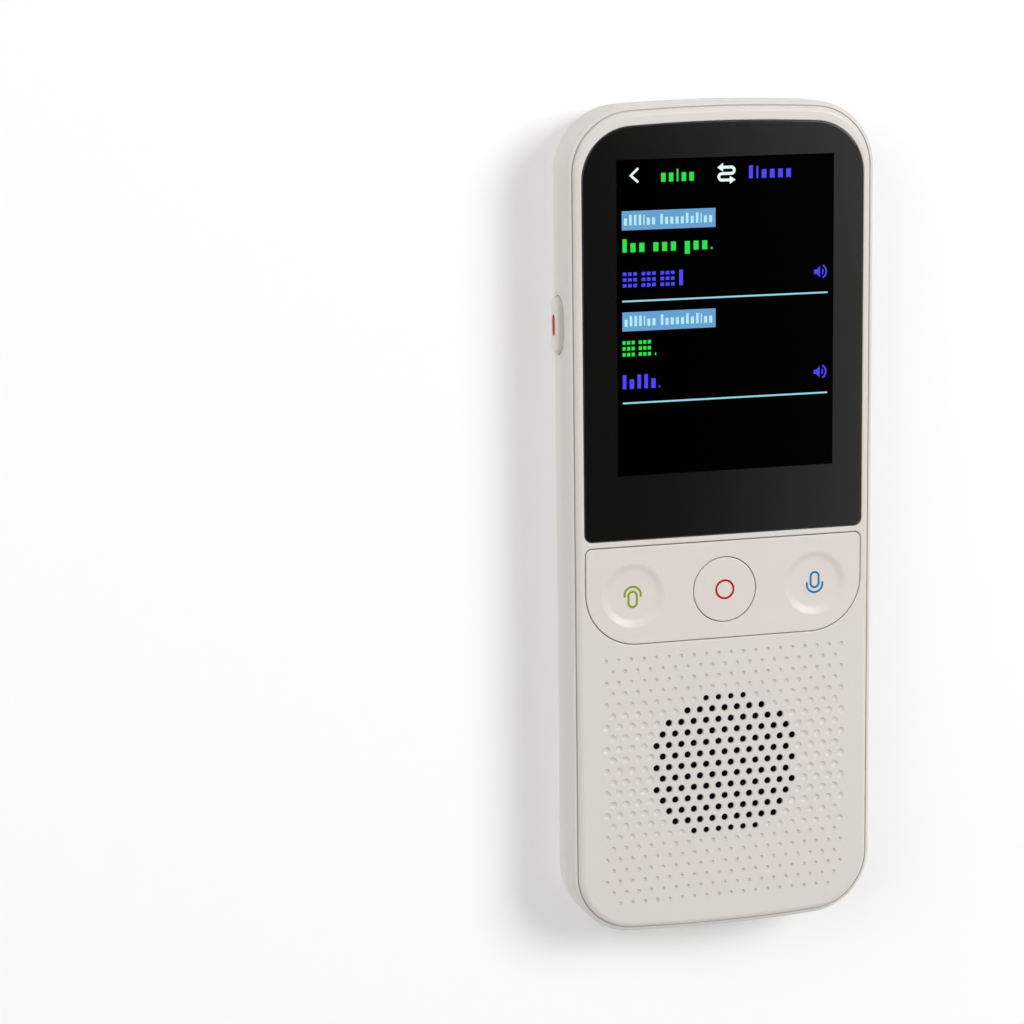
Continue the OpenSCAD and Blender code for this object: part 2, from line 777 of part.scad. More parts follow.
// A turned cap with a softened rim, a flange that keeps it in and a post over its dome.
module centre_key() {
    color([0.88, 0.87, 0.84])
    translate([0, plate_y, 0])
        rotate_extrude($fn = 96)
            polygon(concat(
                [[0, face_z]],
                [for (k = [0:4])
                    [key_r - plate_edge_r * (1 - sin(22.5 * k)), face_z - plate_edge_r * (1 - cos(22.5 * k))]],
                [[key_r, key_flange_z], [key_r + key_flange_w, key_flange_z],
                    [key_r + key_flange_w, key_flange_z - key_flange_t], [post_r, key_flange_z - key_flange_t],
                    [post_r, post_end_z], [0, post_end_z]]
            ));
}

module key_cap(l, inner, outer) {
    skin(
        concat([slot_points(side_key_w, l, 0)],
            [for (i = round_slow(key_edge_r)) slot_points(side_key_w, l, i)]),
        concat([inner], raised(round_fast(key_edge_r), outer - key_edge_r))
    );
}

module key_flange(l, x) {
    prism(slot_points(side_key_w + 2 * side_flange_w, l + 2 * side_flange_w, 0), x - side_flange_t, x);
}

module volume_key() {
    color([0.86, 0.85, 0.82])
    on_right_wall(volume_y)
        union() {
            key_cap(volume_l, volume_flange_x - 0.1, half_w + volume_out);
            key_flange(volume_l, volume_flange_x);
            for (s = [-1, 1])
                rod(0, s * volume_dome_y, side_post_x, volume_flange_x - 0.1, side_post_r);
            translate([0, 0, volume_pivot_x])
                rotate([0, 90, 0]) cylinder(r = fulcrum_r, h = 2.4, center = true, $fn = 32);
            box(-1.2, 1.2, -fulcrum_r, fulcrum_r, volume_pivot_x, volume_flange_x - 0.1);
        }
}

module power_key() {
    color([0.86, 0.85, 0.82])
    mirror([1, 0, 0])
        on_right_wall(power_y)
            union() {
                key_cap(power_l, power_flange_x - 0.1, half_w + power_out);
                key_flange(power_l, power_flange_x);
                rod(0, 0, side_post_x, power_flange_x - 0.1, side_post_r);
            }
}

// A snap dome: a thin spherical cap with its rim on the board.
module dome() {
    ball = (dome_r * dome_r + dome_h * dome_h) / (2 * dome_h);
    thick = 0.08;
    rotate_extrude($fn = 48)
        intersection() {
            difference() {
                translate([0, dome_h - ball]) circle(ball, $fn = 180);
                translate([0, dome_h - ball]) circle(ball - thick, $fn = 180);
            }
            square([dome_r + 1, dome_h + 1]);
        }
}

module board_dome(x) {
    color("silver")
    translate([x, plate_y, board_top_z]) dome();
}

module dome_left() {
    board_dome(-dish_x);
}

module dome_centre() {
    board_dome(0);
}

module dome_right() {
    board_dome(dish_x);
}

module side_dome(y) {
    color("silver")
    on_right_wall(y) translate([0, 0, switch_dome_x]) dome();
}

module volume_up_dome() {
    side_dome(volume_y + volume_dome_y);
}

module volume_down_dome() {
    side_dome(volume_y - volume_dome_y);
}

module power_dome() {
    mirror([1, 0, 0]) side_dome(power_y);
}

module side_board(l) {
    prism(round_rect(switch_board_w / 2, -l / 2, l / 2, 0.6), switch_board_x, switch_dome_x);
}

module volume_switch_board() {
    color("darkgreen")
    on_right_wall(volume_y) side_board(volume_l);
}

module power_switch_board() {
    color("darkgreen")
    mirror([1, 0, 0]) on_right_wall(power_y) side_board(power_l + 3);
}

module main_board() {
    color("darkgreen")
    difference() {
        prism(outline(board_hw, board_top_y, board_bottom_y, 8, 2, crown_r, straight), board_z, board_top_z);
        both_sides()
            for (k = [0, 1])
                rod(screws[k].x, screws[k].y, board_z - 1, board_top_z + 1, screw_r + screw_gap);
    }
}

module lower_board() {
    color("darkgreen")
    difference() {
        prism(round_rect(lower_board_hw, lower_board_y0, lower_board_y1, 1), board_z, board_top_z);
        both_sides()
            rod(screws[2].x, screws[2].y, board_z - 1, board_top_z + 1, screw_r + screw_gap);
    }
}

module shield_can() {
    can_t = 0.2;
    color("silver")
    difference() {
        box(-can_hw, can_hw, can_y0, can_y1, board_z - can_h, board_z);
        box(can_t - can_hw, can_hw - can_t, can_y0 + can_t, can_y1 - can_t, board_z - can_h + can_t,
            board_z + 1);
    }
}

// A chip under the can, its ends given as shares of the can's width and length.
module chip(x0, x1, y0, y1, t) {
    color([0.15, 0.15, 0.15])
    box(x0 * can_hw, x1 * can_hw, can_y0 + y0 * can_l, can_y0 + y1 * can_l, board_z - t * can_h, board_z);
}

module processor() {
    chip(-0.83, 0.03, 0.12, 0.9, 0.61);
}

module memory_chip() {
    chip(0.2, 0.8, 0.12, 0.78, 0.5);
}

// The cable between the boards dips under the loudspeaker's magnet.
module link_flex() {
    flex_t = 0.12;
    z1 = board_z - 0.6;
    z0 = cover_under_z - gasket_t - speaker_t - 1.2;
    ya = board_bottom_y + 1;
    yb = speaker_y + magnet_r + 4;
    yc = speaker_y - magnet_r - 4;
    yd = lower_board_y1 - 1;
    color([0.75, 0.5, 0.15])
    translate([-link_flex_hw, 0, 0])
        rotate([90, 0, 90])
            linear_extrude(2 * link_flex_hw)
                polygon([[ya + 2, z1], [ya, z1], [yb, z0], [yc, z0], [yd, z1], [yd - 2, z1],
                    [yd - 2, z1 - flex_t], [yd, z1 - flex_t], [yc, z0 - flex_t], [yb, z0 - flex_t],
                    [ya, z1 - flex_t], [ya + 2, z1 - flex_t]]);
}

module link_connector(y) {
    box(-link_flex_hw - 0.5, link_flex_hw + 0.5, y, y + 2, board_z - 0.6, board_z);
}

module upper_connector() {
    color([0.2, 0.18, 0.16])
    link_connector(board_bottom_y + 1);
}

module lower_connector() {
    color([0.2, 0.18, 0.16])
    link_connector(lower_board_y1 - 3);
}

module battery() {
    r = battery_edge_r;
    color([0.6, 0.62, 0.66])
    translate([0, battery_y0 + battery_l, battery_z])
        rotate([90, 0, 0])
            linear_extrude(battery_l)
                union() {
                    translate([r - battery_w / 2, 0]) square([battery_w - 2 * r, battery_t]);
                    translate([-battery_w / 2, r]) square([battery_w, battery_t - 2 * r]);
                    for (x = [r - battery_w / 2, battery_w / 2 - r], z = [r, battery_t - r])
                        translate([x, z]) circle(r, $fn = 48);
                }
}

module battery_tape() {
    inset = 4;
    color("white")
    box(inset - battery_w / 2, battery_w / 2 - inset, battery_y0 + inset, battery_y0 + battery_l - inset,
        back_wall, battery_z);
}

module battery_board() {
    color("darkgreen")
    box(-cell_board_hw, cell_board_hw, battery_y0 - cell_board_l, battery_y0, battery_z + 0.8,
        battery_z + 0.8 + cell_board_t);
}

module on_speaker() {
    translate([0, speaker_y, cover_under_z]) children();
}

module speaker_gasket() {
    color([0.15, 0.15, 0.15])
    on_speaker()
        rotate_extrude($fn = 96)
            translate([speaker_r - 1, -gasket_t]) square([1, gasket_t]);
}

// A pressed basket: a rim with a ledge for the cone, a conical wall and the magnet's seat.
module speaker_basket() {
    color([0.3, 0.3, 0.32])
    on_speaker()
        rotate_extrude($fn = 96)
            polygon([[speaker_r, -gasket_t], [speaker_r, -1.7], [speaker_r - 2, -1.7],
                [magnet_r + 1.6, -3.2], [magnet_r + seat_gap, -3.2], [magnet_r + seat_gap, -2.8],
                [magnet_r + 1.3, -2.8], [speaker_r - 2.2, cone_seat], [speaker_r - 1.1, cone_seat],
                [speaker_r - 1.1, -gasket_t]]);
}

// The height of the cone's upper surface, u of the way from its rim to its middle.
function cone_height(u) =
    cone_seat + film_t + (u < 0.25 ? 0.45 * sin(720 * u) : 0.55 * sin(120 * (u - 0.25)));

// The film cone: a rolled surround and a domed middle.
module speaker_cone() {
    steps = 24;
    top = [for (k = [0:steps]) [cone_r * (1 - k / steps), cone_height(k / steps)]];
    color([0.1, 0.1, 0.1])
    on_speaker()
        rotate_extrude($fn = 96)
            polygon(concat(top, [for (k = [0:steps]) top[steps - k] - [0, film_t]]));
}

module voice_coil() {
    top = cone_height(1 - (coil_r + coil_t) / cone_r) - film_t;
    color([0.7, 0.4, 0.2])
    on_speaker()
        rotate_extrude($fn = 64)
            translate([coil_r, top - 2.5]) square([coil_t, 2.49]);
}

module speaker_magnet() {
    color([0.5, 0.5, 0.52])
    on_speaker()
        rotate_extrude($fn = 64)
            polygon([[0, -gasket_t - speaker_t], [magnet_r, -gasket_t - speaker_t], [magnet_r, -2.85],
                [coil_r + coil_t + coil_gap, -2.85], [coil_r + coil_t + coil_gap, -4.2],
                [coil_r - coil_gap, -4.2], [coil_r - coil_gap, -2.75], [0, -2.75]]);
}

module grille_mesh() {
    color([0.05, 0.05, 0.05])
    on_speaker() rod(0, 0, -0.2, 0, speaker_r - 1.05);
}

module usb_shell() {
    color("silver")
    translate([0, -half_l + port_in, port_z])
        rotate([-90, 0, 0])
            difference() {
                linear_extrude(port_l) port_profile(port_shell_t);
                translate([0, 0, -1]) linear_extrude(port_l + 1 - port_shell_t) port_profile(0);
            }
}

module usb_tongue() {
    color([0.15, 0.15, 0.15])
    translate([0, -half_l + port_in, port_z])
        box(-3.35, 3.35, port_l - port_shell_t - 4.45, port_l - port_shell_t, -0.35, 0.35);
}

module microphone() {
    box(-mic_w / 2, mic_w / 2, -mic_l, 0, board_z - mic_t, board_z);
}

// A rubber boot that leads sound from the wall's hole to the microphone.
module mic_boot() {
    difference() {
        box(-mic_w / 2, mic_w / 2, 0, boot_l, mic_z - 0.7, mic_z + 0.65);
        translate([0, boot_l + 1, mic_z])
            rotate([90, 0, 0]) cylinder(r = mic_hole_r, h = boot_l + 2, $fn = 32);
    }
}

module at_top_mic() {
    translate([mic_x, board_top_y - boot_l + 0.3, 0]) children();
}

module at_bottom_mic() {
    rotate([0, 0, 180]) at_top_mic() children();
}

module bottom_microphone() {
    color([0.75, 0.7, 0.5])
    at_bottom_mic() microphone();
}

module top_microphone() {
    color([0.75, 0.7, 0.5])
    at_top_mic() microphone();
}

module bottom_mic_boot() {
    color([0.15, 0.15, 0.15])
    at_bottom_mic() mic_boot();
}

module top_mic_boot() {
    color([0.15, 0.15, 0.15])
    at_top_mic() mic_boot();
}

module antenna_film() {
    color([0.8, 0.55, 0.2])
    box(-antenna_hw, antenna_hw, speaker_y - antenna_hl, speaker_y + antenna_hl, back_wall,
        back_wall + 0.12);
}

module housing_screw() {
    difference() {
        union() {
            rod(0, 0, head_seat_z - head_t, head_seat_z, head_r);
            rod(0, 0, head_seat_z - 0.1, head_seat_z + screw_l, screw_r);
        }
        for (a = [0, 90])
            rotate([0, 0, a])
                box(-0.9, 0.9, -0.15, 0.15, head_seat_z - head_t - 1, head_seat_z - head_t + 0.5);
    }
}

module housing_screws() {
    color([0.4, 0.4, 0.42])
    both_sides()
        for (s = screws)
            translate([s.x, s.y, 0]) housing_screw();
}

rear_shell();
front_cover();
cover_glass();
glass_tape();
lcd_panel();
lcd_tray();
lcd_flex();
lcd_connector();
talk_plate();
centre_key();
volume_key();
power_key();
dome_left();
dome_centre();
dome_right();
volume_up_dome();
volume_down_dome();
power_dome();
volume_switch_board();
power_switch_board();
main_board();
shield_can();
processor();
memory_chip();
lower_board();
link_flex();
upper_connector();
lower_connector();
battery();
battery_tape();
battery_board();
speaker_gasket();
speaker_basket();
speaker_cone();
voice_coil();
speaker_magnet();
grille_mesh();
usb_shell();
usb_tongue();
bottom_microphone();
bottom_mic_boot();
top_microphone();
top_mic_boot();
antenna_film();
housing_screws();
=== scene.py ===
"""A handheld voice translator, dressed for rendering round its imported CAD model.

Every size is in millimetres in the CAD model's own axes: X to the device's right, Y to its top
end and Z out of the screen. Meshes are brought to metres when a piece is settled on its body.
"""
import logging
import math
from collections.abc import Callable, Iterable, Sequence
from dataclasses import dataclass, field, replace
from enum import Enum, IntEnum

import bmesh
import bpy
from mathutils import Euler, Matrix, Vector
from mathutils.geometry import delaunay_2d_cdt


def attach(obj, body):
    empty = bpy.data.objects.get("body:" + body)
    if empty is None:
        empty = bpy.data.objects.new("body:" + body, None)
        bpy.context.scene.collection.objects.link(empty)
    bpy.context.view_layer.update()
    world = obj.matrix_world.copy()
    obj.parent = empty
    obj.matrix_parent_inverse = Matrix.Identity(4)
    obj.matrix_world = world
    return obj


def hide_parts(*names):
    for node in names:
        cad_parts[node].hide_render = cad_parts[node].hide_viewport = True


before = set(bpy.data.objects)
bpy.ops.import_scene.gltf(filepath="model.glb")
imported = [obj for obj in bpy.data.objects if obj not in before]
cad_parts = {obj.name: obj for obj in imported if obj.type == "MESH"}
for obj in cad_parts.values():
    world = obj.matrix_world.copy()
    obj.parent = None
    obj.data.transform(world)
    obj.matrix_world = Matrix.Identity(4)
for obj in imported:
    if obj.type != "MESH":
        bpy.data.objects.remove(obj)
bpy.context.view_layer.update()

LOG = logging.getLogger("translator")
MM = 0.001
STRAIGHT = 100000.0  # The crown radius of an end that is as good as straight.
WELD = 1e-5  # Vertices closer than this become one.
SLIVER = 1e-4  # Edges shorter than this collapse.
OVERLAP = 0.1  # How far solids that are joined reach into each other.
PAST = 1.0  # How far a cutting tool reaches past what it cuts.
SHARP_ANGLE = 28.0
FACE_WEIGHT = 80
ROUND = 32  # Steps round a post or a small hole.
COLOUR_A, COLOUR_B, COLOUR_OUT = 6, 7, 2  # The Mix node's colour sockets.
OPEN = (False, False)  # A skin without caps.

Point = tuple[float, float]
Ring = list[Point]
Profile = tuple[Point, ...]
Place = tuple[float, float, float]
Spot = tuple[float, float, float, float]
Colour = tuple[float, float, float]
Object = bpy.types.Object
Socket = bpy.types.NodeSocket


class Body(Enum):
    """The CAD bodies that pieces ride on."""

    HOUSING = "housing"
    TALK_PLATE = "talk_plate"
    CENTRE_KEY = "centre_key"
    VOLUME_KEY = "volume_key"
    POWER_KEY = "power_key"


class MaterialSlot(Enum):
    """The record's material slots, which each piece names."""

    SHELL = "shell_plastic"
    COVER = "cover_plastic"
    KEYS = "key_plastic"
    SCREEN = "screen_glass"
    PORT = "port_steel"


class Cut(Enum):
    """How one solid is combined with another."""

    ADD = "UNION"
    REMOVE = "DIFFERENCE"
    KEEP_COMMON = "INTERSECT"


class Pattern(Enum):
    """The surface detail that a finish takes from a shared shader group."""

    MOULDED = "moulded_grain"
    BRUSHED = "brushed_lines"
    WOVEN = "woven_threads"
    TRACED = "board_traces"
    WRINKLED = "film_wrinkles"


class Pixels(IntEnum):
    """The finish numbers of the glass's face."""

    BORDER = 0
    BLACK = 1
    WHITE = 2
    GREEN = 3
    BLUE = 4
    LABEL = 5
    LABEL_TEXT = 6
    LINE = 7


def srgb(*channels: int) -> Colour:
    """Turns red, green and blue from 0 to 255 on the screen into linear light."""
    shares = (channel / 255 for channel in channels)
    return tuple(s / 12.92 if s <= 0.04045 else ((s + 0.055) / 1.055) ** 2.4 for s in shares)


def times(share: float, colour: Colour) -> Colour:
    """Returns a colour with each of its channels times share."""
    return tuple(share * channel for channel in colour)


def steps(count: int) -> list[float]:
    """Returns count + 1 even shares from 0 to 1."""
    return [k / count for k in range(count + 1)]


def quarter(radius: float, count: int, turn: float = math.pi / 2) -> Ring:
    """Returns a rounding's steps: how far in and how far up each is from its upright start."""
    return [(radius * (1 - math.cos(turn * s)), radius * math.sin(turn * s)) for s in steps(count)]


def rounded(level: float, radius: float, count: int, size: float = 0.0, facing: int = 1) -> Ring:
    """Returns sizes and heights of a rounding up to a level; facing -1 makes the size shrink."""
    return [(size + facing * inset, level - radius + up) for inset, up in quarter(radius, count)]


def arc(centre: Point, radius: float, start: float, end: float, count: int = 20) -> Ring:
    """Returns points on an arc, its ends in degrees."""
    turns = [math.radians(start + (end - start) * share) for share in steps(count)]
    return [(centre[0] + radius * math.cos(t), centre[1] + radius * math.sin(t)) for t in turns]


def circle(radius: float, count: int, centre: Point = (0.0, 0.0)) -> Ring:
    """Returns an anticlockwise circle, or its centre alone where the radius is 0."""
    return arc(centre, radius, 0, 360, count)[:-1] if radius else [centre]


def slot(width: float, length: float, grown: float = 0.0, count: int = 16) -> Ring:
    """Returns a slot with round ends, its length along the second axis, moved out by grown."""
    radius, reach = width / 2 + grown, (length - width) / 2
    return [point for end in (1, -1) for point in
            arc((0.0, end * reach), radius, 90 - 90 * end, 270 - 90 * end, 2 * count)]


def rectangle(x0: float, x1: float, y0: float, y1: float) -> Ring:
    """Returns a rectangle's corners, anticlockwise."""
    return [(x0, y0), (x1, y0), (x1, y1), (x0, y1)]


def shifted(ring: Ring, by: Point, facing: int = 1) -> Ring:
    """Returns a ring moved by a step, and first turned half round where facing is -1."""
    return [(by[0] + facing * x, by[1] + facing * y) for x, y in ring]


def plus_sign(arm: float, half: float) -> Ring:
    """Makes a plus sign.

    Args:
        arm: The length of each arm from the middle.
        half: Half the width of the arms.

    Returns:
        The anticlockwise outline.
    """
    ring, corner = [], [(arm, -half), (arm, half), (half, half)]
    for _ in range(4):
        ring, corner = ring + corner, [(-y, x) for x, y in corner]
    return ring


def stroke(path: Ring, width: float) -> Ring:
    """Gives an open line a width.

    Args:
        path: The line's points.
        width: The width of the stroke.

    Returns:
        The closed outline of the stroke, with flat ends.
    """
    sharpest, left, right = 0.5, [], []
    for k, point in enumerate(path):
        before, after = path[max(k - 1, 0)], path[min(k + 1, len(path) - 1)]
        along = (Vector(after) - Vector(before)).normalized()
        corner = 1.0
        if 0 < k < len(path) - 1:
            corner = max(sharpest, along.dot((Vector(point) - Vector(before)).normalized()))
        side = Vector((-along.y, along.x)) * width / (2 * corner)
        left.append(tuple(Vector(point) + side))
        right.append(tuple(Vector(point) - side))
    return right + left[::-1]


def axes(*rows: Sequence[float], at: Sequence[float] = (0.0, 0.0, 0.0)) -> Matrix:
    """Returns a place, from the three rows of its turn and its origin."""
    return Matrix.Translation(at) @ Matrix(rows).to_4x4()


@dataclass(frozen=True)
class Outline:
    """A closed outline seen from the front: round corners and slowly curved ends."""

    half_w: float
    top: float
    bottom: float
    top_r: float
    bottom_r: float
    top_crown: float = STRAIGHT
    bottom_crown: float = STRAIGHT

    def grown(self, by: float) -> "Outline":
        """Returns the outline moved outwards, or inwards where by is negative."""
        return Outline(self.half_w + by, self.top + by, self.bottom - by, self.top_r + by,
                       self.bottom_r + by, self.top_crown + by, self.bottom_crown + by)

    def _end(self, end: float, radius: float, crown: float, corner: int, across: int) -> Ring:
        """Makes one end: a corner, the slow curve and the other corner.

        Args:
            end: The end's furthest Y.
            radius: The corners' radius.
            crown: The radius of the slow curve.
            corner: Steps in each corner.
            across: Steps in the slow curve.

        Returns:
            The end's points, from its right side to its left.
        """
        inner = self.half_w - radius
        centre_y = end - crown + math.sqrt((crown - radius) ** 2 - inner ** 2)
        lean = math.degrees(math.asin(inner / (crown - radius)))
        return (arc((inner, centre_y), radius, 0, 90 - lean, corner)
                + arc((0, end - crown), crown, 90 - lean, 90 + lean, across)[1:-1]
                + arc((-inner, centre_y), radius, 90 + lean, 180, corner))

    def ring(self, corner: int = 28, across: int = 20, side: int = 36) -> Ring:
        """Makes the outline's points.

        Args:
            corner: Steps in each corner.
            across: Steps in each end's slow curve.
            side: Steps along each straight side.

        Returns:
            The anticlockwise outline.
        """
        upper = self._end(self.top, self.top_r, self.top_crown, corner, across)
        lower = self._end(-self.bottom, self.bottom_r, self.bottom_crown, corner, across)
        lower, ring = shifted(lower, (0.0, 0.0), -1), []
        for points, following in ((upper, lower), (lower, upper)):
            (x0, y0), (x1, y1) = points[-1], following[0]
            ring += points
            ring += [(x0 + (x1 - x0) * s, y0 + (y1 - y0) * s) for s in steps(side)[1:-1]]
        return ring


@dataclass(frozen=True)
class BodyPlan:
    """The plan of the whole device, which the sub-assemblies share."""

    half_w: float = 25.25
    half_l: float = 66.1
    face_z: float = 12.4
    wall: float = 1.4
    back_edge_r: float = 5.0
    top_corner_r: float = 10.4
    corner_r: float = 10.0
    end_crown: float = 270.0
    rim_w: float = 0.85
    parting_gap: float = 0.15
    edge_under_z: float = 10.25
    side_key_z: float = 6.0
    port_z: float = 5.82
    plate_y: float = -10.655
    plate_top_y: float = -2.88
    plate_bottom_y: float = -18.43
    speaker_y: float = -39.17
    corner_centre: Point = (15.25, -56.1)
    board_z: float = 7.4
    screws: Profile = ((14.0, 61.21), (18.8, -21.83), (10.5, -58.04))

    def outline(self, inset: float) -> Ring:
        """Returns the body's outline moved inwards by inset."""
        return Outline(self.half_w, self.half_l, -self.half_l, self.top_corner_r, self.corner_r,
                       self.end_crown, self.end_crown).grown(-inset).ring()

    def screw_places(self) -> list[Point]:
        """Returns the middle of each of the six screws."""
        return [(side * x, y) for side in (1, -1) for x, y in self.screws]


PLAN = BodyPlan()
GLASS_OUTLINE = Outline(23.05, 62.95, -1.75, 8.2, 1.2, 266.85)
PLATE_OUTLINE = Outline(22.95, PLAN.plate_top_y, PLAN.plate_bottom_y, 1.0, 8.4)


def placed(name: str, data: bpy.types.ID) -> Object:
    """Makes an object.

    Args:
        name: The object's name.
        data: Its mesh, lamp or camera.

    Returns:
        The object, in the scene.
    """
    made = bpy.data.objects.new(name, data)
    bpy.context.scene.collection.objects.link(made)
    return made


def rework(mesh: bpy.types.Mesh, change: Callable[[bmesh.types.BMesh], object]) -> None:
    """Changes a mesh in place.

    Args:
        mesh: The mesh.
        change: What is done to it.
    """
    work = bmesh.new()
    work.from_mesh(mesh)
    change(work)
    work.to_mesh(mesh)
    work.free()


class Form:
    """A mesh under construction, in millimetres, with a finish number for each face."""

    def __init__(self, place: Matrix | None = None) -> None:
        """Starts an empty form.

        Args:
            place: Where what is added to the form goes.
        """
        self.place = place or Matrix()
        self.verts: list[Vector] = []
        self.faces: list[tuple[int, ...]] = []
        self.finishes: list[int] = []

    def add(self, verts: Iterable[Sequence[float]], faces: Iterable[Sequence[int]],
            finishes: Sequence[int] | int = 0) -> "Form":
        """Adds faces with their own vertices.

        Args:
            verts: The vertices.
            faces: Faces, anticlockwise from outside, as indices into verts.
            finishes: One finish number, or one for each face.

        Returns:
            The form.
        """
        first, faces = len(self.verts), list(faces)
        self.verts += [self.place @ Vector(v) for v in verts]
        self.faces += [tuple(first + k for k in face) for face in faces]
        self.finishes += [finishes] * len(faces) if isinstance(finishes, int) else finishes
        return self

    def take(self, others: Iterable["Form"]) -> "Form":
        """Adds what other forms hold.

        Args:
            others: The other forms.

        Returns:
            The form.
        """
        for other in others:
            self.add(other.verts, other.faces, other.finishes)
        return self

    def loft(self, rings: Sequence[Ring], heights: Sequence[float],
             caps: tuple[bool, bool] = (True, True), finish: int = 0) -> "Form":
        """Adds a skin through loops with equal numbers of points; a loop of one point is a pole.

        Args:
            rings: The anticlockwise loops, from the first height to the last.
            heights: The height of each loop.
            caps: Whether the first and the last loop are closed.
            finish: The finish number of every face.

        Returns:
            The form.
        """
        verts, faces, spans = [], [], []
        for ring, z in zip(rings, heights):
            spans.append((len(verts), len(ring)))
            verts += [(x, y, z) for x, y in ring]
        for (a, a_count), (b, b_count) in zip(spans, spans[1:]):
            count = max(a_count, b_count)
            for j in range(count):
                k = (j + 1) % count
                low = [a] if a_count == 1 else [a + j, a + k]
                high = [b] if b_count == 1 else [b + k, b + j]
                faces.append((*low, *high))
        (first, first_count), (last, last_count) = spans[0], spans[-1]
        if caps[0] and first_count > 1:
            faces.append(tuple(first + first_count - 1 - j for j in range(first_count)))
        if caps[1] and last_count > 1:
            faces.append(tuple(last + j for j in range(last_count)))
        return self.add(verts, faces, finish)

    def sweep(self, profile: Iterable[Point], ring: Callable[[float], Ring],
              caps: tuple[bool, bool] = (True, True), finish: int = 0) -> "Form":
        """Adds a skin through a loop whose size changes with its height.

        Args:
            profile: Pairs of size and height, from the lowest cap to the highest.
            ring: Makes the loop of a size.
            caps: Whether the first and the last loop are closed.
            finish: The finish number of every face.

        Returns:
            The form.
        """
        sizes, heights = zip(*profile)
        return self.loft([ring(size) for size in sizes], heights, caps, finish)

    def prism(self, ring: Ring, low: float, high: float) -> "Form":
        """Adds a prism between two heights and returns the form."""
        return self.loft([ring] * 2, [low, high])

    def lathe(self, profile: Iterable[Point], count: int = 96, centre: Point = (0.0, 0.0),
              caps: tuple[bool, bool] = (True, True), finish: int = 0) -> "Form":
        """Adds a turned solid, its profile in pairs of radius and height; returns the form."""
        return self.sweep(profile, lambda radius: circle(radius, count, centre), caps, finish)

    def box(self, x0: float, x1: float, y0: float, y1: float, z0: float, z1: float) -> "Form":
        """Adds a box between two corners and returns the form."""
        return self.prism(rectangle(x0, x1, y0, y1), z0, z1)

    def tiled(self, outer: Ring, inlays: Sequence[tuple[Ring, int]], z: float) -> "Form":
        """Adds a flat face with inlaid shapes, each with its own finish.

        Args:
            outer: The face's outline.
            inlays: Shapes and their finish numbers; a later one lies over an earlier one.
            z: The face's height.

        Returns:
            The form.
        """
        points, loops, numbers = [], [], [0] + [number for _, number in inlays]
        for ring in [outer] + [ring for ring, _ in inlays]:
            loops.append(list(range(len(points), len(points) + len(ring))))
            points += [Vector(p) for p in ring]
        verts, _, tiles, _, _, owners = delaunay_2d_cdt(points, [], loops, 1, WELD)
        faces, finishes = [], []
        for tile, owner in zip(tiles, owners):
            a, b, c = (verts[k] for k in tile[:3])
            facing_up = (b - a).cross(c - a) > 0
            faces.append(tuple(tile) if facing_up else tuple(reversed(tile)))
            finishes.append(numbers[max(owner)] if owner else 0)
        return self.add([(v.x, v.y, z) for v in verts], faces, finishes)

    def object(self, name: str) -> Object:
        """Makes the form a Blender object.

        Args:
            name: The object's name.

        Returns:
            The object, with its doubled vertices merged.
        """
        mesh = bpy.data.meshes.new(name)
        mesh.from_pydata([tuple(v) for v in self.verts], [], self.faces)
        mesh.polygons.foreach_set("material_index", self.finishes)
        rework(mesh, lambda work: bmesh.ops.remove_doubles(work, verts=work.verts, dist=WELD))
        return placed(name, mesh)


def bake(piece: Object, tool: Object) -> None:
    """Replaces a piece's mesh by what its modifiers make of it.

    Args:
        piece: The piece.
        tool: The object that the modifiers use, which is deleted.
    """
    evaluated = piece.evaluated_get(bpy.context.evaluated_depsgraph_get())
    made, used = bpy.data.meshes.new_from_object(evaluated), (piece.data, tool.data)
    piece.modifiers.clear()
    piece.data = made
    bpy.data.objects.remove(tool)
    for mesh in used:
        bpy.data.meshes.remove(mesh)


def combine(piece: Object, tool: Form | Object, how: Cut) -> None:
    """Combines a solid with another one, which is used up.

    Args:
        piece: The solid that stays.
        tool: The other solid.
        how: How they are combined.
    """
    modifier = piece.modifiers.new("combine", "BOOLEAN")
    modifier.operation, modifier.solver = how.value, "MANIFOLD"
    modifier.object = tool.object("tool") if isinstance(tool, Form) else tool
    bake(piece, modifier.object)


@dataclass(frozen=True)
class Wiring:
    """A node tree under construction."""

    tree: bpy.types.NodeTree

    def feed(self, node: bpy.types.Node, inputs: dict[str | int, object]) -> None:
        """Sets a node's inputs.

        Args:
            node: The node.
            inputs: A plain value or another node's output for each input.
        """
        for key, value in inputs.items():
            if isinstance(value, Socket):
                self.tree.links.new(value, node.inputs[key])
            else:
                node.inputs[key].default_value = value

    def node(self, kind: str, inputs: dict[str | int, object] | None = None,
             **settings: object) -> bpy.types.Node:
        """Adds a node.

        Args:
            kind: Its type.
            inputs: A plain value or another node's output for each input that is set.
            settings: Its own properties.

        Returns:
            The node.
        """
        node = self.tree.nodes.new(kind)
        for name, value in settings.items():
            setattr(node, name, value)
        self.feed(node, inputs or {})
        return node

    def math(self, operation: str, *values: Socket | float) -> Socket:
        """Returns the result of a math node."""
        return self.node("ShaderNodeMath", dict(enumerate(values)), operation=operation).outputs[0]


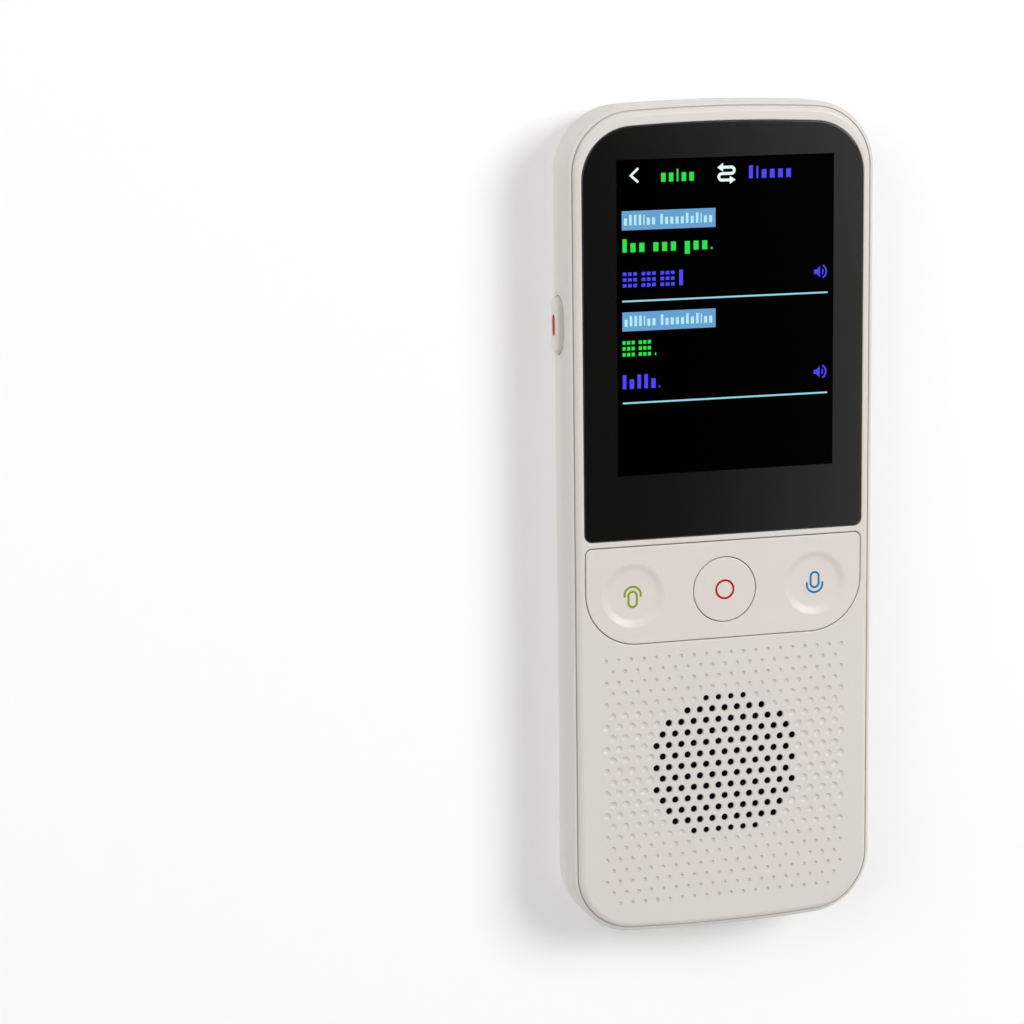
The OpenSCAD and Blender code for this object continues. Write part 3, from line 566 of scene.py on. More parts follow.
class StampTree:
    """A Geometry Nodes tree that sets one solid on every point of a field."""

    NAME = "stamp_on_points"

    @classmethod
    def _build(cls) -> bpy.types.NodeTree:
        """Builds the tree.

        Returns:
            A tree that sets a stamp on each point, as wide as the point's radius, as real faces.
        """
        tree = bpy.data.node_groups.new(cls.NAME, "GeometryNodeTree")
        for name, kind in (("Geometry", "Geometry"), ("Stamp", "Object"), ("Depth", "Float"),
                           ("Finish", "Material")):
            tree.interface.new_socket(name, in_out="INPUT", socket_type=f"NodeSocket{kind}")
        tree.interface.new_socket("Geometry", in_out="OUTPUT", socket_type="NodeSocketGeometry")
        wiring = Wiring(tree)
        source = wiring.node("NodeGroupInput").outputs
        stamp = wiring.node("GeometryNodeObjectInfo", {"Object": source["Stamp"]})
        radius = wiring.node("GeometryNodeInputNamedAttribute", {"Name": "radius"},
                             data_type="FLOAT").outputs["Attribute"]
        scale = wiring.node("ShaderNodeCombineXYZ",
                            {"X": radius, "Y": radius, "Z": source["Depth"]})
        copies = wiring.node("GeometryNodeInstanceOnPoints", {
            "Points": source["Geometry"], "Instance": stamp.outputs["Geometry"],
            "Scale": scale.outputs["Vector"]})
        real = wiring.node("GeometryNodeRealizeInstances",
                           {"Geometry": copies.outputs["Instances"]})
        dressed = wiring.node("GeometryNodeSetMaterial", {
            "Geometry": real.outputs["Geometry"], "Material": source["Finish"]})
        wiring.node("NodeGroupOutput", {"Geometry": dressed.outputs["Geometry"]})
        return tree

    @classmethod
    def stamped(cls, name: str, form: Form, places: Sequence[Spot], depth: float,
                finish: bpy.types.Material) -> Object:
        """Sets a form on every place.

        Args:
            name: The new object's name.
            form: The solid to repeat, one millimetre in radius and in depth.
            places: X, Y, Z and radius of each place.
            depth: How deep the solid is made.
            finish: The material of every copy.

        Returns:
            One plain mesh with a solid on every place.
        """
        tree = bpy.data.node_groups.get(cls.NAME) or cls._build()
        points = bpy.data.meshes.new(name)
        points.from_pydata([place[:3] for place in places], [], [])
        radius = points.attributes.new("radius", "FLOAT", "POINT")
        radius.data.foreach_set("value", [place[3] for place in places])
        piece, stamp = placed(name, points), form.object("stamp")
        sockets = {item.name: item.identifier for item in tree.interface.items_tree
                   if item.in_out == "INPUT"}
        modifier = piece.modifiers.new("stamps", "NODES")
        modifier.node_group = tree
        for socket, value in (("Stamp", stamp), ("Depth", depth), ("Finish", finish)):
            modifier[sockets[socket]] = value
        bake(piece, stamp)
        return piece


@dataclass(frozen=True)
class PatternGroup:
    """A shader group that finishes share: it puts out a height, a tone and a gloss."""

    wiring: Wiring
    place: Socket
    scale: Socket

    OUTPUTS = ("Height", "Tone", "Gloss")

    @classmethod
    def get(cls, pattern: Pattern) -> bpy.types.NodeTree:
        """Returns the group of a pattern, which is built the first time."""
        return bpy.data.node_groups.get(pattern.value) or cls._build(pattern)

    @classmethod
    def _build(cls, pattern: Pattern) -> bpy.types.NodeTree:
        """Builds one group.

        Args:
            pattern: The pattern that the group makes.

        Returns:
            A group with the input Scale and the outputs Height, Tone and Gloss.
        """
        tree = bpy.data.node_groups.new(pattern.value, "ShaderNodeTree")
        tree.interface.new_socket("Scale", in_out="INPUT", socket_type="NodeSocketFloat")
        for name in cls.OUTPUTS:
            tree.interface.new_socket(name, in_out="OUTPUT", socket_type="NodeSocketFloat")
        wiring = Wiring(tree)
        group = cls(wiring, wiring.node("ShaderNodeTexCoord").outputs["Object"],
                    wiring.node("NodeGroupInput").outputs["Scale"])
        makers = {Pattern.MOULDED: group._moulded, Pattern.BRUSHED: group._brushed,
                  Pattern.WOVEN: group._woven, Pattern.TRACED: group._traced,
                  Pattern.WRINKLED: group._wrinkled}
        wiring.node("NodeGroupOutput", dict(zip(cls.OUTPUTS, makers[pattern]())))
        return tree

    def _noise(self, share: float, detail: float = 3.0, distortion: float = 0.0,
               stretch: Sequence[float] = ()) -> Socket:
        """Adds a noise texture.

        Args:
            share: The noise's scale as a share of the group's.
            detail: Octaves of finer noise.
            distortion: How much the noise is bent.
            stretch: How much the coordinates are stretched along each axis.

        Returns:
            The noise's value.
        """
        place = self.place
        if stretch:
            place = self.wiring.node("ShaderNodeMapping", {"Vector": place, "Scale": stretch})
            place = place.outputs["Vector"]
        scale = self.wiring.math("MULTIPLY", self.scale, share)
        return self.wiring.node("ShaderNodeTexNoise", {
            "Vector": place, "Scale": scale, "Detail": detail,
            "Distortion": distortion}).outputs["Fac"]

    def _moulded(self) -> tuple[Socket, ...]:
        """Returns the fine spark-eroded grain of a moulded part, with slow tone and gloss."""
        return self._noise(1.0, detail=4.0), self._noise(0.012), self._noise(0.09)

    def _brushed(self) -> tuple[Socket, ...]:
        """Returns the long scratches of rolled metal."""
        lines = self._noise(1.0, detail=5.0, stretch=(0.03, 1.0, 0.4))
        return lines, self._noise(0.05), lines

    def _woven(self) -> tuple[Socket, ...]:
        """Makes threads that cross each other.

        Returns:
            The height, the tone and the gloss.
        """
        threads = [self.wiring.node("ShaderNodeTexWave", {
            "Vector": self.place, "Scale": self.scale}, bands_direction=direction).outputs["Fac"]
            for direction in ("X", "Y")]
        over = self.wiring.math("MAXIMUM", *threads)
        return over, over, self._noise(0.5)

    def _traced(self) -> tuple[Socket, ...]:
        """Makes the raised runs and islands of copper under a board's varnish.

        Returns:
            The height, the tone and the gloss.
        """
        cells = self.wiring.node("ShaderNodeTexVoronoi", {
            "Vector": self.place, "Scale": self.scale}, distance="CHEBYCHEV", feature="F1")
        edge_share = 0.42
        edge = self.wiring.math("GREATER_THAN", cells.outputs["Distance"], edge_share)
        return edge, edge, self._noise(0.3)

    def _wrinkled(self) -> tuple[Socket, ...]:
        """Returns the soft creases of a film or a pouch."""
        creases = self._noise(1.0, detail=2.0, distortion=1.4)
        return creases, self._noise(0.4), creases


@dataclass(frozen=True)
class Finish:
    """One material, made from two tones, a roughness and a shared pattern."""

    name: str
    colour: Colour
    shade: Colour
    roughness: float = 0.45
    spread: float = 0.06
    metallic: float = 0.0
    pattern: Pattern = Pattern.MOULDED
    scale: float = 3000.0
    relief: float = 0.00001
    specular: float = 0.5

    def material(self) -> bpy.types.Material:
        """Returns the finish's material, which is built the first time."""
        return bpy.data.materials.get(self.name) or self._build()

    def own_inputs(self) -> dict[str, object]:
        """Returns the shader's inputs that the pattern doesn't change."""
        return {"Metallic": self.metallic, "Specular IOR Level": self.specular}

    def _build(self) -> bpy.types.Material:
        """Builds the material.

        Returns:
            A Principled material with its tone, roughness and relief from the pattern.
        """
        material = bpy.data.materials.new(self.name)
        material.use_nodes = True
        wiring = Wiring(material.node_tree)
        pattern = wiring.node("ShaderNodeGroup", {"Scale": self.scale},
                              node_tree=PatternGroup.get(self.pattern)).outputs
        tone = wiring.node("ShaderNodeMix", {
            "Factor": pattern["Tone"], COLOUR_A: (*self.shade, 1), COLOUR_B: (*self.colour, 1),
        }, data_type="RGBA")
        gloss = wiring.node("ShaderNodeMapRange", {
            "Value": pattern["Gloss"], "To Min": self.roughness - self.spread,
            "To Max": self.roughness + self.spread})
        bump = wiring.node("ShaderNodeBump",
                           {"Height": pattern["Height"], "Distance": self.relief})
        wiring.feed(material.node_tree.nodes["Principled BSDF"], {
            "Base Color": tone.outputs[COLOUR_OUT], "Roughness": gloss.outputs["Result"],
            "Normal": bump.outputs["Normal"], **self.own_inputs()})
        return material


@dataclass(frozen=True)
class LitPixels(Finish):
    """A part of the screen's picture, lit from behind, under the same gloss as the rest."""

    glow: Colour = (1.0, 1.0, 1.0)

    def own_inputs(self) -> dict[str, object]:
        """Returns the plain inputs, with the light that the pixels give."""
        light = {"Emission Color": (*self.glow, 1), "Emission Strength": 1.0}
        return super().own_inputs() | light


def lit(name: str, glow: Colour) -> LitPixels:
    """Returns the finish of pixels of one colour."""
    dark = times(0.02, glow)
    return LitPixels(name, dark, dark, roughness=0.08, spread=0.02, scale=60, relief=1e-7,
                     specular=0.02, glow=glow)


def plastic(name: str, colour: Colour, relief: float = 0.000012) -> Finish:
    """Returns the satin moulded plastic of the housing in one colour."""
    return Finish(name, colour, times(0.955, colour), roughness=0.37, spread=0.05, relief=relief)


def ink(name: str, colour: Colour) -> Finish:
    """Returns a pad-printed ink in one colour."""
    return Finish(name, colour, times(0.85, colour), roughness=0.5, spread=0.05, scale=4000,
                  relief=0.000004, specular=0.15)


def metal(name: str, colour: Colour, roughness: float = 0.32) -> Finish:
    """Returns a rolled or turned bare metal."""
    return Finish(name, colour, times(0.8, colour), roughness, spread=0.1, metallic=1.0,
                  pattern=Pattern.BRUSHED, scale=6000, relief=0.000004)


def dull(name: str, colour: Colour, pattern: Pattern = Pattern.MOULDED, scale: float = 2500.0,
         roughness: float = 0.6) -> Finish:
    """Returns a plain technical material, its second tone a little darker than its colour."""
    return Finish(name, colour, times(0.7, colour), roughness, spread=0.08, pattern=pattern,
                  scale=scale, relief=0.00003)


SHELL_WHITE = plastic("shell_white", srgb(214, 210, 203))
COVER_WHITE = plastic("cover_white", srgb(216, 211, 204))
KEY_WHITE = plastic("key_white", srgb(217, 211, 204), 0.00001)
# Painted shade: a near-black finish that stands for the shade inside the holes over the
# loudspeaker.
PAINTED_SHADE_BLACK = plastic("painted_shade_black", srgb(24, 23, 22))
MARK_GREY = plastic("mark_grey", srgb(120, 116, 112))
GLASS_BLACK = Finish("glass_black", (0.0034, 0.0036, 0.003), (0.0028, 0.003, 0.0025),
                     roughness=0.07, spread=0.03, scale=70, relief=1e-7, specular=0.8)
PICTURE_BLACK = Finish("picture_black", (0.0002, 0.0003, 0.0003), (0.0001, 0.0002, 0.0002),
                       roughness=0.08, spread=0.02, scale=60, relief=1e-7, specular=0.02)
FACE_FINISHES = {
    Pixels.BORDER: GLASS_BLACK,
    Pixels.BLACK: PICTURE_BLACK,
    Pixels.WHITE: lit("pixels_white", srgb(232, 250, 250)),
    Pixels.GREEN: lit("pixels_green", srgb(45, 225, 75)),
    Pixels.BLUE: lit("pixels_blue", srgb(78, 72, 238)),
    Pixels.LABEL: lit("pixels_label", srgb(104, 160, 206)),
    Pixels.LABEL_TEXT: lit("pixels_label_text", srgb(180, 232, 248)),
    Pixels.LINE: lit("pixels_line", srgb(150, 215, 228)),
}
INK_GREEN = ink("ink_green", srgb(136, 156, 14))
INK_RED = ink("ink_red", srgb(186, 12, 24))
INK_BLUE = ink("ink_blue", srgb(24, 116, 178))
CONTACT_GOLD = metal("contact_gold", (0.83, 0.58, 0.22), 0.25)
INNER_FINISHES: tuple[tuple[Finish, tuple[str, ...]], ...] = (
    (dull("black_tape", (0.012, 0.012, 0.012), Pattern.WOVEN, 900, 0.55), ("glass_tape",)),
    (Finish("panel_glass", (0.012, 0.013, 0.018), (0.01, 0.01, 0.014), roughness=0.12,
            spread=0.04, scale=80, relief=1e-7), ("lcd_panel",)),
    (metal("bright_steel", (0.62, 0.61, 0.59)),
     ("lcd_tray", "shield_can", "usb_shell", "dome_left", "dome_centre", "dome_right",
      "volume_up_dome", "volume_down_dome", "power_dome")),
    (dull("flex_amber", srgb(190, 122, 40), Pattern.WRINKLED, 300, 0.3),
     ("lcd_flex", "link_flex", "antenna_film")),
    (dull("connector_brown", srgb(58, 48, 42), scale=3500),
     ("lcd_connector", "upper_connector", "lower_connector")),
    (dull("board_green", srgb(24, 84, 52), Pattern.TRACED, 900, 0.35),
     ("volume_switch_board", "power_switch_board", "main_board", "lower_board",
      "battery_board")),
    (dull("chip_resin", (0.02, 0.02, 0.022), scale=5000, roughness=0.5),
     ("processor", "memory_chip")),
    (dull("cell_pouch", srgb(168, 172, 178), Pattern.WRINKLED, 160, 0.28), ("battery",)),
    (dull("white_tape", srgb(225, 225, 220), Pattern.WOVEN, 700, 0.65), ("battery_tape",)),
    (dull("gasket_foam", (0.03, 0.03, 0.03), Pattern.WRINKLED, 2500, 0.9), ("speaker_gasket",)),
    (dull("basket_resin", srgb(70, 70, 74), roughness=0.5), ("speaker_basket",)),
    (dull("cone_film", (0.035, 0.035, 0.038), Pattern.WRINKLED, 500, 0.3), ("speaker_cone",)),
    (metal("coil_copper", (0.8, 0.36, 0.16), 0.3), ("voice_coil",)),
    (metal("magnet_nickel", (0.5, 0.5, 0.49), 0.3), ("speaker_magnet",)),
    (dull("speaker_cloth", (0.006, 0.006, 0.006), Pattern.WOVEN, 2600, 0.85), ("grille_mesh",)),
    (dull("tongue_black", (0.02, 0.02, 0.02), scale=3000, roughness=0.4), ("usb_tongue",)),
    (metal("mic_gold", (0.7, 0.58, 0.34), 0.35), ("bottom_microphone", "top_microphone")),
    (dull("boot_rubber", (0.025, 0.025, 0.025), scale=1500, roughness=0.75),
     ("bottom_mic_boot", "top_mic_boot")),
    (metal("dark_steel", (0.2, 0.2, 0.21), 0.4), ("housing_screws",)),
)


def settle(piece: Object, body: Body, filled: MaterialSlot, finishes: Sequence[Finish],
           stands_for: Sequence[str] = ()) -> Object:
    """Brings a finished piece to metres, dresses it and sets it on its body.

    Args:
        piece: The piece, in millimetres.
        body: The body that it rides on.
        filled: The record's material slot; not used.
        finishes: The finish of each finish number.
        stands_for: The CAD nodes that it replaces.

    Returns:
        The piece.
    """
    mesh = piece.data
    rework(mesh, lambda work: bmesh.ops.dissolve_degenerate(work, dist=SLIVER, edges=work.edges))
    mesh.transform(Matrix.Scale(MM, 4))
    numbers = [min(polygon.material_index, len(finishes) - 1) for polygon in mesh.polygons]
    mesh.materials.clear()
    for finish in finishes:
        mesh.materials.append(finish.material())
    mesh.polygons.foreach_set("material_index", numbers)
    mesh.polygons.foreach_set("use_smooth", [True] * len(mesh.polygons))
    mesh.set_sharp_from_angle(angle=math.radians(SHARP_ANGLE))
    soft = piece.modifiers.new("soft_shading", "WEIGHTED_NORMAL")
    soft.keep_sharp, soft.weight = True, FACE_WEIGHT
    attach(piece, body.value)
    if stands_for:
        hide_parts(*stands_for)
    return piece


@dataclass(frozen=True)
class SideKey:
    """A key in a side wall: its cap, the flange that keeps it in, and what stands on the board."""

    name: str
    body: Body
    side: int
    middle_y: float
    length: float
    out: float
    flange_x: float
    posts: tuple[float, ...]
    marks: tuple[Ring, ...]
    mark_depth: float
    mark_finish: Finish
    rib_extra: float = 0.0
    pivot_x: float | None = None
    width: float = 3.2
    edge_r: float = 0.3
    gap: float = 0.12
    foot: float = 0.6
    flange_w: float = 0.6
    flange_t: float = 0.45
    post_r: float = 1.0
    post_x: float = 22.6
    fulcrum_r: float = 0.4
    fulcrum_half: float = 1.2
    web: Point = (1.15, 0.35)
    scoop_depth: float = 0.5
    scoop_half_w: float = 4.5
    scoop_end: float = 1.2
    scoop_core: float = 0.8
    scoop_curve: float = 1.5
    scoop_proud: float = 0.01

    def form(self) -> Form:
        """Returns a form in the key's own axes: the first one up, the third one outwards."""
        return Form(axes((0, 0, self.side), (0, -self.side, 0), (1, 0, 0),
                         at=(0, self.middle_y, PLAN.side_key_z)))

    def _ring(self, grown: float = 0.0) -> Ring:
        """Returns the cap's outline, moved outwards by grown."""
        return slot(self.width, self.length, grown)

    def build(self) -> list[Object]:
        """Builds the cap with its flange, posts, pivot and marks.

        Returns:
            The key, on its body.
        """
        outer, under = PLAN.half_w + self.out, self.flange_x - OVERLAP
        profile = [(0.0, under), (0.0, PLAN.half_w - self.foot),
                   *rounded(outer, self.edge_r, 8, facing=-1)]
        piece = self.form().sweep(profile, self._ring).object(self.name)
        flange = self.form().prism(self._ring(self.flange_w), self.flange_x - self.flange_t,
                                   self.flange_x)
        combine(piece, flange, Cut.ADD)
        posts = self.form()
        for along in self.posts:
            posts.lathe([(self.post_r, self.post_x), (self.post_r, under)], ROUND, (0.0, along))
        combine(piece, posts, Cut.ADD)
        if self.pivot_x is not None:
            place = self.form().place @ Matrix.Translation((0, 0, self.pivot_x))
            bar = Form(place @ Matrix.Rotation(math.pi / 2, 4, "Y"))
            bar.prism(circle(self.fulcrum_r, ROUND), -self.fulcrum_half, self.fulcrum_half)
            combine(piece, bar, Cut.ADD)
            x, y = self.web
            combine(piece, self.form().box(-x, x, -y, y, self.pivot_x, under), Cut.ADD)
        self._engrave(piece, outer)
        return [settle(piece, self.body, MaterialSlot.KEYS, (KEY_WHITE, self.mark_finish),
                       (self.body.value,))]

    def _engrave(self, piece: Object, face: float) -> None:
        """Sinks the marks into the key's outer face.

        Args:
            piece: The key's solid.
            face: How far out the face is.
        """
        tool, floor, upright, near = self.form(), face - self.mark_depth, 0.999, 0.005
        for mark in self.marks:
            tool.prism(mark, floor, face + 2 * OVERLAP)
        combine(piece, tool, Cut.REMOVE)
        inward = tool.place.inverted()
        for polygon in piece.data.polygons:
            outward = (inward.to_3x3() @ polygon.normal).z
            if outward > upright and abs((inward @ polygon.center).z - floor) < near:
                polygon.material_index = 1

    def slot_tool(self) -> Form:
        """Returns the slot in the wall, with the flat seat for the flange behind it."""
        inside, seat = PLAN.half_w - PLAN.wall, self.flange_w + self.gap
        return self.form().sweep([(seat, inside - PAST), (seat, inside), (self.gap, inside),
                                  (self.gap, PLAN.half_w + PAST)], self._ring)

    def scoop_tool(self) -> Form:
        """Makes the shallow scoop round the key, which runs out softly into the wall.

        Returns:
            The tool that cuts it.
        """
        wide, reach = self.scoop_half_w, self.length / 2 + self.scoop_end - self.scoop_half_w
        profile, rim = [], PLAN.half_w + self.scoop_proud
        for share in steps(22):
            half = self.scoop_core + (wide - self.scoop_core) * share
            fall = math.cos(math.pi / 2 * (half / wide) ** self.scoop_curve) ** 2
            profile.append((half, rim - self.scoop_depth * fall))
        profile.append((wide, PLAN.half_w + PAST))
        return self.form().sweep(profile,
                                 lambda half: slot(2 * half, 2 * (reach + half), count=24))


VOLUME_KEY = SideKey(
    "volume_key_cap", Body.VOLUME_KEY, side=1, middle_y=33.9, length=22.6, out=0.35,
    flange_x=23.4277, posts=(-8.5, 8.5), pivot_x=22.42, mark_depth=0.08, mark_finish=MARK_GREY,
    marks=(shifted(plus_sign(0.95, 0.13), (0.0, -6.75)),
           shifted(slot(0.26, 1.9, count=4), (0.0, 6.75))))
POWER_KEY = SideKey(
    "power_key_cap", Body.POWER_KEY, side=-1, middle_y=31.8, length=9.1, out=0.65,
    flange_x=23.8, posts=(0.0,), rib_extra=4.0, edge_r=0.5, mark_depth=0.04,
    mark_finish=INK_RED, marks=(slot(1.4, 3.4, count=8),))
SIDE_KEYS = (VOLUME_KEY, POWER_KEY)


@dataclass
class RearShell:
    """The rear half of the housing: back, walls and rim, with every opening in them.

    A mouth is the flared end of an opening, in pairs of how much wider it is and how far out of
    the wall's face.
    """

    rim_top: float = 11.65
    rim_r: float = 0.9
    groove_z: float = 11.42
    rib_x: float = 21.5
    rib_t: float = 1.0
    boss_r: float = 2.3
    ledge_lap: float = 0.01
    screw_seat_z: float = 3.0
    recess_r: float = 1.7
    shank_r: float = 0.95
    screw_mouth: Profile = ((0.16, 1.0), (0.16, 0.01), (0.05, -0.07), (0.0, -0.2))
    port_w: float = 8.34
    port_h: float = 2.56
    port_grown: float = 0.35
    port_mouth: Profile = ((0.0, -2.4), (0.0, -0.32), (0.08, -0.13), (0.25, 0.02), (0.3, 0.4))
    mic_x: float = 8.0
    mic_z: float = 6.7
    mic_r: float = 0.5
    mic_mouth: Profile = ((0.0, -2.4), (0.0, -0.3), (0.14, -0.05), (0.2, 0.3))
    notch_z: float = 5.2
    notch_h: float = 1.8
    notch_l: float = 5.4
    notch_depth: float = 2.5
    notch_angle: float = -47.0
    notch_mouth: Profile = ((0.0, -0.5), (0.07, -0.25), (0.3, -0.02), (0.5, 0.1), (0.5, 2.0))
    bar_r: float = 0.6
    bar_half: float = 1.2
    bar_in: float = 0.35
    bury: float = 0.4
    cell_ribs: tuple[float, ...] = (0.3, 57.2)
    cell_rib_half: float = 20.0
    cell_rib_top: float = 3.95

    def _outside(self) -> Ring:
        """Makes the outer part of the section, from the flat back up to the rim's top.

        Returns:
            Pairs of inset and height.
        """
        edge, spring = PLAN.back_edge_r, self.rim_top - self.rim_r
        turn = math.acos(1 - (PLAN.rim_w - PLAN.parting_gap) / self.rim_r)
        return ([(edge - up, inset) for inset, up in quarter(edge, 16)]
                + [(0.0, edge + (spring - edge) * s) for s in steps(5)[1:-1]]
                + [(inset, spring + up) for inset, up in quarter(self.rim_r, 12, turn)])

    def _profile(self) -> Ring:
        """Makes the whole section, from the back over the rim to the cavity's floor.

        Returns:
            Pairs of inset and height.
        """
        inner_r, step = PLAN.back_edge_r - PLAN.wall, PLAN.rim_w - self.ledge_lap
        ledge = [(PLAN.rim_w - PLAN.parting_gap, self.groove_z), (step, self.groove_z),
                 (step, PLAN.edge_under_z), (PLAN.wall, PLAN.edge_under_z)]
        return self._outside() + ledge + [(PLAN.wall + inset, PLAN.back_edge_r - up)
                                          for inset, up in quarter(inner_r, 10)]

    def _notch_form(self) -> Form:
        """Returns a form in the lanyard notch's own axes, with the third one outwards."""
        turn = Matrix.Rotation(math.radians(self.notch_angle), 4, "Z")
        return Form(Matrix.Translation((*PLAN.corner_centre, self.notch_z)) @ turn
                    @ axes((0, 0, 1), (0, -1, 0), (1, 0, 0)))

    def _inner_parts(self) -> Object:
        """Builds the ribs, the screw bosses and the block behind the notch.

        Returns:
            One mesh of solids that are clear of each other, cut off within the wall.
        """
        form, low = Form(), PLAN.wall / 2
        for key in SIDE_KEYS:
            half = (key.length + key.rib_extra) / 2
            x0, x1 = sorted((key.side * self.rib_x, key.side * (self.rib_x - self.rib_t)))
            form.box(x0, x1, key.middle_y - half, key.middle_y + half, low,
                     PLAN.board_z - OVERLAP)
        for y in self.cell_ribs:
            form.box(-self.cell_rib_half, self.cell_rib_half, y, y + self.rib_t, low,
                     self.cell_rib_top)
        for place in PLAN.screw_places():
            form.lathe([(self.boss_r, low), (self.boss_r, PLAN.board_z)], 48, place)
        half = self.notch_l / 2 + PAST
        inner = form.take([self._notch_form().box(
            low - self.notch_z, self.notch_h / 2 + PAST, -half, half,
            PLAN.corner_r - self.notch_depth - PLAN.wall, PLAN.corner_r)]).object("inner_parts")
        within = [(inset + self.bury, z + self.bury) for inset, z in self._outside()]
        combine(inner, Form().sweep(within, PLAN.outline), Cut.KEEP_COMMON)
        return inner

    def _openings(self) -> Form:
        """Makes the scoops, the port, the microphone holes and the notch.

        Returns:
            The tool that cuts them all.
        """
        tool = Form().take(key.scoop_tool() for key in SIDE_KEYS)
        width, height = (size + 2 * self.port_grown for size in (self.port_w, self.port_h))
        mouth = [(grown, PLAN.half_l + out) for grown, out in self.port_mouth]
        port = Form(axes((0, 1, 0), (0, 0, -1), (-1, 0, 0), at=(0, 0, PLAN.port_z)))
        tool.take([port.sweep(mouth, lambda grown: slot(height, width, grown, 14))])
        hole = [(self.mic_r + grown, PLAN.half_l + out) for grown, out in self.mic_mouth]
        for side in (-1, 1):
            middle = Matrix.Translation((side * self.mic_x, 0, self.mic_z))
            turned = Form(middle @ Matrix.Rotation(-side * math.pi / 2, 4, "X"))
            tool.take([turned.lathe(hole, ROUND)])
        notch = [(0.0, PLAN.corner_r - self.notch_depth)]
        notch += [(grown, PLAN.corner_r + out) for grown, out in self.notch_mouth]
        return tool.take([self._notch_form().sweep(
            notch, lambda grown: slot(self.notch_h, self.notch_l, grown))])

    def _screw_recesses(self) -> Object:
        """Makes the recesses and shank holes of the six screws.

        Returns:
            The tool that cuts them all.
        """
        screw = [(self.recess_r + grown, -out) for grown, out in self.screw_mouth]
        screw += [(self.recess_r, self.screw_seat_z), (self.shank_r, self.screw_seat_z),
                  (self.shank_r, PLAN.board_z + PAST)]
        places = [(x, y, 0.0, 1.0) for x, y in PLAN.screw_places()]
        return StampTree.stamped("screw_recesses", Form().lathe(screw, 48), places, 1.0,
                                 SHELL_WHITE.material())

    def build(self) -> list[Object]:
        """Builds the shell.

        Returns:
            The shell, on the housing.
        """
        shell = Form().sweep(self._profile(), PLAN.outline).object("rear_shell_skin")
        combine(shell, self._inner_parts(), Cut.ADD)
        for tool in (self._screw_recesses(), self._openings(),
                     *(key.slot_tool() for key in SIDE_KEYS)):
            combine(shell, tool, Cut.REMOVE)
        reach = PLAN.corner_r - self.bar_r - self.bar_in
        middle = arc(PLAN.corner_centre, reach, self.notch_angle, self.notch_angle, 1)[0]
        bar = Form().prism(circle(self.bar_r, ROUND, middle), self.notch_z - self.bar_half,
                           self.notch_z + self.bar_half)
        combine(shell, bar, Cut.ADD)
        return [settle(shell, Body.HOUSING, MaterialSlot.SHELL, (SHELL_WHITE,),
                       ("rear_shell",))]


@dataclass
class Grille:
    """The field of dimples and holes in front of the loudspeaker."""

    rows: int = 23
    half_steps: int = 19
    first_y: float = -20.86
    row_pitch: float = 1.80409
    half_pitch: float = 1.04158
    vent_reach: float = 12.15
    vent_d: float = 1.02
    vent_share: float = 0.95
    large_d: float = 1.25
    small_d: float = 0.66
    full_reach: float = 7.574
    fade_reach: float = 10.822
    corner_reach: float = 6.1
    dimple_depth: float = 0.33
    bowl: Profile = ((0.0, -1.0), (0.42, -0.93), (0.74, -0.62), (0.94, -0.18), (1.06, 0.12),
                     (1.06, 2.0))
    pin: Profile = ((1.0, -3.0), (1.0, -0.25), (1.07, -0.1), (1.22, 0.02), (1.22, 0.6))

    def _size(self, y: float) -> float:
        """Returns how wide a place is: full size beside the speaker, smaller to both ends."""
        share = (abs(y - PLAN.speaker_y) - self.full_reach) / self.fade_reach
        return self.small_d + (self.large_d - self.small_d) * (1 - min(1.0, max(0.0, share))) ** 2

    def places(self) -> tuple[list[Spot], list[Spot]]:
        """Lays out the field.

        Returns:
            The dimples and the holes, each with X, Y, Z and radius.
        """
        dimples, vents = [], []
        corner_x, corner_y = PLAN.corner_centre
        for row in range(self.rows):
            y = self.first_y - row * self.row_pitch
            size = self._size(y)
            for k in range(-self.half_steps, self.half_steps + 1):
                x = k * self.half_pitch
                past = math.hypot(abs(x) - corner_x, y - corner_y)
                inside = abs(x) < corner_x or y > corner_y or past < self.corner_reach
                if (row + k + self.half_steps) % 2 or not inside:
                    continue
                if math.hypot(x, y - PLAN.speaker_y) < self.vent_reach:
                    vents.append((x, y, PLAN.face_z, min(self.vent_d, self.vent_share * size) / 2))
                else:
                    dimples.append((x, y, PLAN.face_z, size / 2))
        return dimples, vents

    def tool(self) -> Object:
        """Builds what is taken out of the cover.

        Returns:
            One mesh with a bowl or a flared pin on every place.
        """
        dimples, vents = self.places()
        finish = COVER_WHITE.material()
        tool = StampTree.stamped("dimples", Form().lathe(self.bowl, 16), dimples,
                                 self.dimple_depth, finish)
        combine(tool, StampTree.stamped("vents", Form().lathe(self.pin, 20), vents, 1.0, finish),
                Cut.ADD)
        LOG.info("grille: %d dimples and %d holes", len(dimples), len(vents))
        return tool


